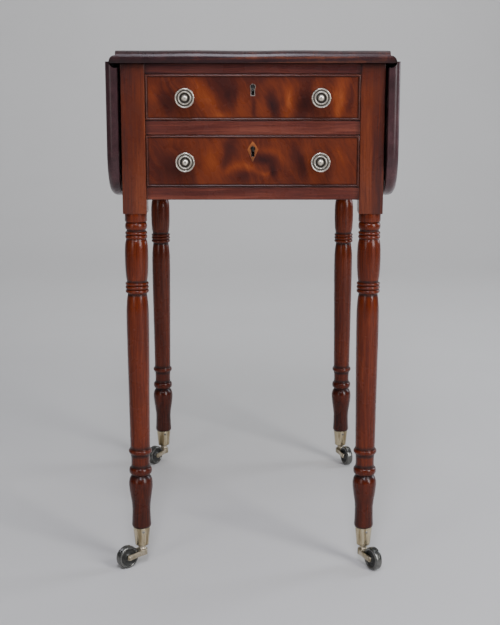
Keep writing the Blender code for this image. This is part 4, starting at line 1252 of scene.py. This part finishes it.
def arm_shape(side):
    """One cheek of a fork: broad at the yoke, narrow along the trail, round at the axle."""
    upper = curve([(-0.0030, 0.0216), (0.0060, 0.0218), (0.0120, 0.0213), (0.0180, 0.0206),
                   (TRAIL - 0.0006, AXLE_HEIGHT + 0.0041)], 5)
    end = arc(TRAIL, AXLE_HEIGHT, 0.0041, 90, -90, 14)
    lower = curve([(TRAIL - 0.0006, AXLE_HEIGHT - 0.0041), (0.0170, 0.0132), (0.0110, 0.0139),
                   (0.0050, 0.0143), (-0.0030, 0.0144)], 5)
    outline = upper[:-1] + end + lower[1:]
    shape = prism_shape(outline, ARM_THICK, 0.0005)
    near = ARM_INNER if side > 0 else -ARM_INNER - ARM_THICK
    turn = Matrix.Rotation(math.pi / 2, 4, "X")
    return placed(shape, Matrix.Translation((0.0, near + ARM_THICK, 0.0)) @ turn)


def castor_place(corner):
    """The castor's own axes: its swivel is at the origin, and it trails along +X."""
    joint = next(j for j in frame["joints"] if j["child"] == "castor_fork_" + corner)
    low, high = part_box("castor_wheel_" + corner)
    x, y = joint["pos_m"][0], joint["pos_m"][1]
    angle = math.atan2((low.y + high.y) / 2 - y, (low.x + high.x) / 2 - x)
    return Matrix.Translation((x, y, 0.0)) @ Matrix.Rotation(angle, 4, "Z")


def make_fork(corner, place):
    name = "castor_fork_" + corner
    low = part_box("castor_cup_" + corner)[0]
    head = low.z + 0.0033
    profile = [
        (0.0, head + 0.0012),
        (0.0045, head + 0.0012),
        (0.0045, head),
        (0.0025, head),
        (0.0025, low.z - 0.0005),
        (0.0048, low.z - 0.0005),
        *arc(0.0048, low.z - 0.0011, 0.0006, 90, 0, 3),
        (0.0052, low.z - 0.0035),
        *curve([(0.0053, 0.0250), (0.0057, 0.0240), (0.0066, 0.0232), (0.0072, 0.0228)], 3),
        *arc(0.0069, 0.0218, 0.0008, 80, 0, 4),
        (0.0077, 0.0150),
        *arc(0.0069, 0.0148, 0.0008, 0, -90, 4),
        (0.0, 0.0140),
    ]
    shapes = [lathe(profile, 48), arm_shape(1), arm_shape(-1)]
    across = Matrix.Translation((TRAIL, 0.0, AXLE_HEIGHT)) @ Matrix.Rotation(math.pi / 2, 4, "X")
    half = ARM_INNER + ARM_THICK
    rivet = [(0.0, half + 0.0009), (0.0012, half + 0.0008), (0.0021, half + 0.0005),
             (0.0025, half + 0.0001), (0.0025, half - 0.0004), (0.0019, half - 0.0004)]
    axle = rivet + [(r, -z) for r, z in reversed(rivet)]
    shapes.append(placed(lathe(axle, 32), across))
    shape = placed(merged(*shapes), place)
    inverse = place.inverted()

    def grime(point):
        own = inverse @ point
        inner = 1 - ease(abs(own.y), ARM_INNER - 0.0002, ARM_INNER + 0.0008)
        near_axle = math.hypot(own.x - TRAIL, own.z - AXLE_HEIGHT)
        ring_dirt = blot(near_axle, 0.0, (0.0027, 0.0), (0.0005, 1.0)) if abs(own.y) > 0.006 else 0
        neck_dirt = 0.5 * ease(own.z, 0.0262, 0.0285)
        return 0.70 * inner * ease(own.x, 0.004, 0.010) + 0.8 * ring_dirt + neck_dirt

    add_piece(name + "_fine", shape, FORK_BRASS, name, "pale_brass", name, grime=grime, angle=40)


def wheel_profile():
    """The wheel about its axle: a crowned, grooved tread, dished faces and a hub."""
    radius = AXLE_HEIGHT
    groove = 0.0003
    half = [
        (0.0024, 0.0052),
        *arc(0.0044, 0.0046, 0.0006, 90, 0, 3),
        (0.0052, 0.0037),
        *curve([(0.0058, 0.0033), (0.0078, 0.0032), (0.0102, 0.0033), (0.0116, 0.0037)], 3),
        (0.0123, 0.0047),
        *arc(0.0129, 0.0046, 0.0006, 150, 90, 2),
        *arc(radius - 0.0022, 0.0030, 0.0022, 88, 18, 7),
        (radius - 0.00005, 0.0020),
        (radius - groove, 0.0017),
        (radius - groove, 0.0013),
        (radius, 0.0010),
        (radius, 0.0),
    ]
    return half + [(r, -z) for r, z in reversed(half)][1:]


def make_wheel(corner, place):
    name = "castor_wheel_" + corner
    across = Matrix.Translation((TRAIL, 0.0, AXLE_HEIGHT)) @ Matrix.Rotation(math.pi / 2, 4, "X")
    shape = placed(lathe(wheel_profile(), 72), place @ across)
    inverse = (place @ across).inverted()

    def grime(point):
        own = inverse @ point
        radius = math.hypot(own.x, own.y)
        # Painted shade: the dished faces are darkened.
        dish = ease(radius, 0.0048, 0.0060) * (1 - ease(radius, 0.0112, 0.0125))
        groove = ease(AXLE_HEIGHT - radius, 0.0002, 0.0005) * ease(radius, 0.0152, 0.0155)
        return 0.80 * dish + 0.7 * groove

    add_piece(name + "_fine", shape, IRON, name, "steel", name, grime=grime, angle=35)


# ---------------------------------------------------------------- assembly

def make_table():
    make_top()
    for side_name, side in SIDES.items():
        make_leaf(side_name, side)
        for end_name in ENDS:
            hinge_screws(side_name, side, end_name)
    make_carcass()
    for end_name, side_name in CORNERS:
        make_leg(end_name, side_name)
        corner = f"{end_name}_{side_name}"
        place = castor_place(corner)
        make_cup(corner)
        make_fork(corner, place)
        make_wheel(corner, place)
    make_drawer("upper", (0.0026, 0.0034, 0.0134), 0.6706, upper_figure_and_knob_shadows)
    make_drawer("lower", (0.0026, 0.0034, 0.0128), 0.5901, lower_figure_and_knob_shadows)
    finishes = {"top_mahogany": TOP_WOOD, "mahogany": PANEL_WOOD, "flame_veneer": VENEER,
                "secondary_wood": OAK_Y, "boxwood": BOXWOOD, "pale_brass": PALE_BRASS,
                "aged_brass": AGED_BRASS, "steel": STEEL}
    for name, node in NODES.items():
        node.data.materials.clear()
        node.data.materials.append(finishes[slot_of(name)])


# ---------------------------------------------------------------- studio

def make_floor():
    """A pale floor that sweeps up into a backdrop behind the table."""
    shape = bmesh.new()
    line = [(-6.0, 0.0)] + [(2.2 + 1.2 * math.sin(math.radians(a)),
                             1.2 - 1.2 * math.cos(math.radians(a))) for a in range(0, 91, 6)]
    line.append((3.4, 6.0))
    rows = [[shape.verts.new((x, y, z)) for x in (-15.0, 15.0)] for y, z in line]
    for (a, b), (c, d) in zip(rows, rows[1:]):
        shape.faces.new((a, b, d, c))
    floor = loose("studio_floor", shape)
    floor.data.shade_smooth()
    n = Nodes("studio_paint")
    shade = n.noise(n.position(), 3.0, 2.0)
    floor.data.materials.append(n.finish(
        Base_Color=n.mix(shade, (0.60, 0.59, 0.58), (0.64, 0.63, 0.62)), Roughness=0.75,
        Specular_IOR_Level=0.2))


def add_light(name, place, target, size, power, colour=(1.0, 1.0, 1.0)):
    lamp = bpy.data.lights.new(name, "AREA")
    lamp.shape = "RECTANGLE"
    lamp.size, lamp.size_y = size
    lamp.energy = power
    lamp.color = colour
    light = bpy.data.objects.new(name, lamp)
    light.location = place
    light.rotation_euler = (Vector(target) - Vector(place)).to_track_quat("-Z", "Y").to_euler()
    bpy.context.scene.collection.objects.link(light)


def make_studio():
    make_floor()
    world = bpy.data.worlds.new("studio_air")
    world.use_nodes = True
    world.node_tree.nodes["Background"].inputs["Color"].default_value = (0.80, 0.85, 0.92, 1.0)
    world.node_tree.nodes["Background"].inputs["Strength"].default_value = 0.14
    bpy.context.scene.world = world
    middle = (0.0, 0.0, 0.42)
    add_light("window", (1.9, -2.05, 1.50), middle, (0.9, 2.1), 66, (0.97, 0.98, 1.0))
    add_light("fill", (-1.9, -2.7, 1.3), middle, (0.9, 1.9), 17, (1.0, 0.98, 0.96))
    add_light("front", (-0.05, -1.80, 2.05), (0.0, -0.25, 0.70), (0.36, 1.50), 28, (0.88, 0.89, 1.0))
    add_light("ceiling", (0.0, -1.35, 2.45), (0.0, -0.20, 0.45), (2.2, 0.9), 8, (0.88, 0.90, 1.0))
    add_light("rim", (2.2, 0.9, 1.3), middle, (0.8, 1.6), 24, (0.86, 0.91, 1.0))
    add_light("overhead", (0.3, 0.4, 2.6), middle, (1.8, 1.4), 10, (0.92, 0.96, 1.0))
    add_light("backdrop", (0.0, 1.2, 2.4), (0.0, 3.4, 0.8), (2.4, 0.6), 34, (0.97, 0.98, 1.0))

    lens = bpy.data.cameras.new("camera")
    lens.lens = 72.0
    camera = bpy.data.objects.new("camera", lens)
    camera.location = (-0.0037, FACE_Y - 1.660, 0.717)
    camera.rotation_euler = (math.radians(90 - 11.84), 0.0, 0.0)
    bpy.context.scene.collection.objects.link(camera)
    bpy.context.scene.camera = camera


make_table()
make_studio()
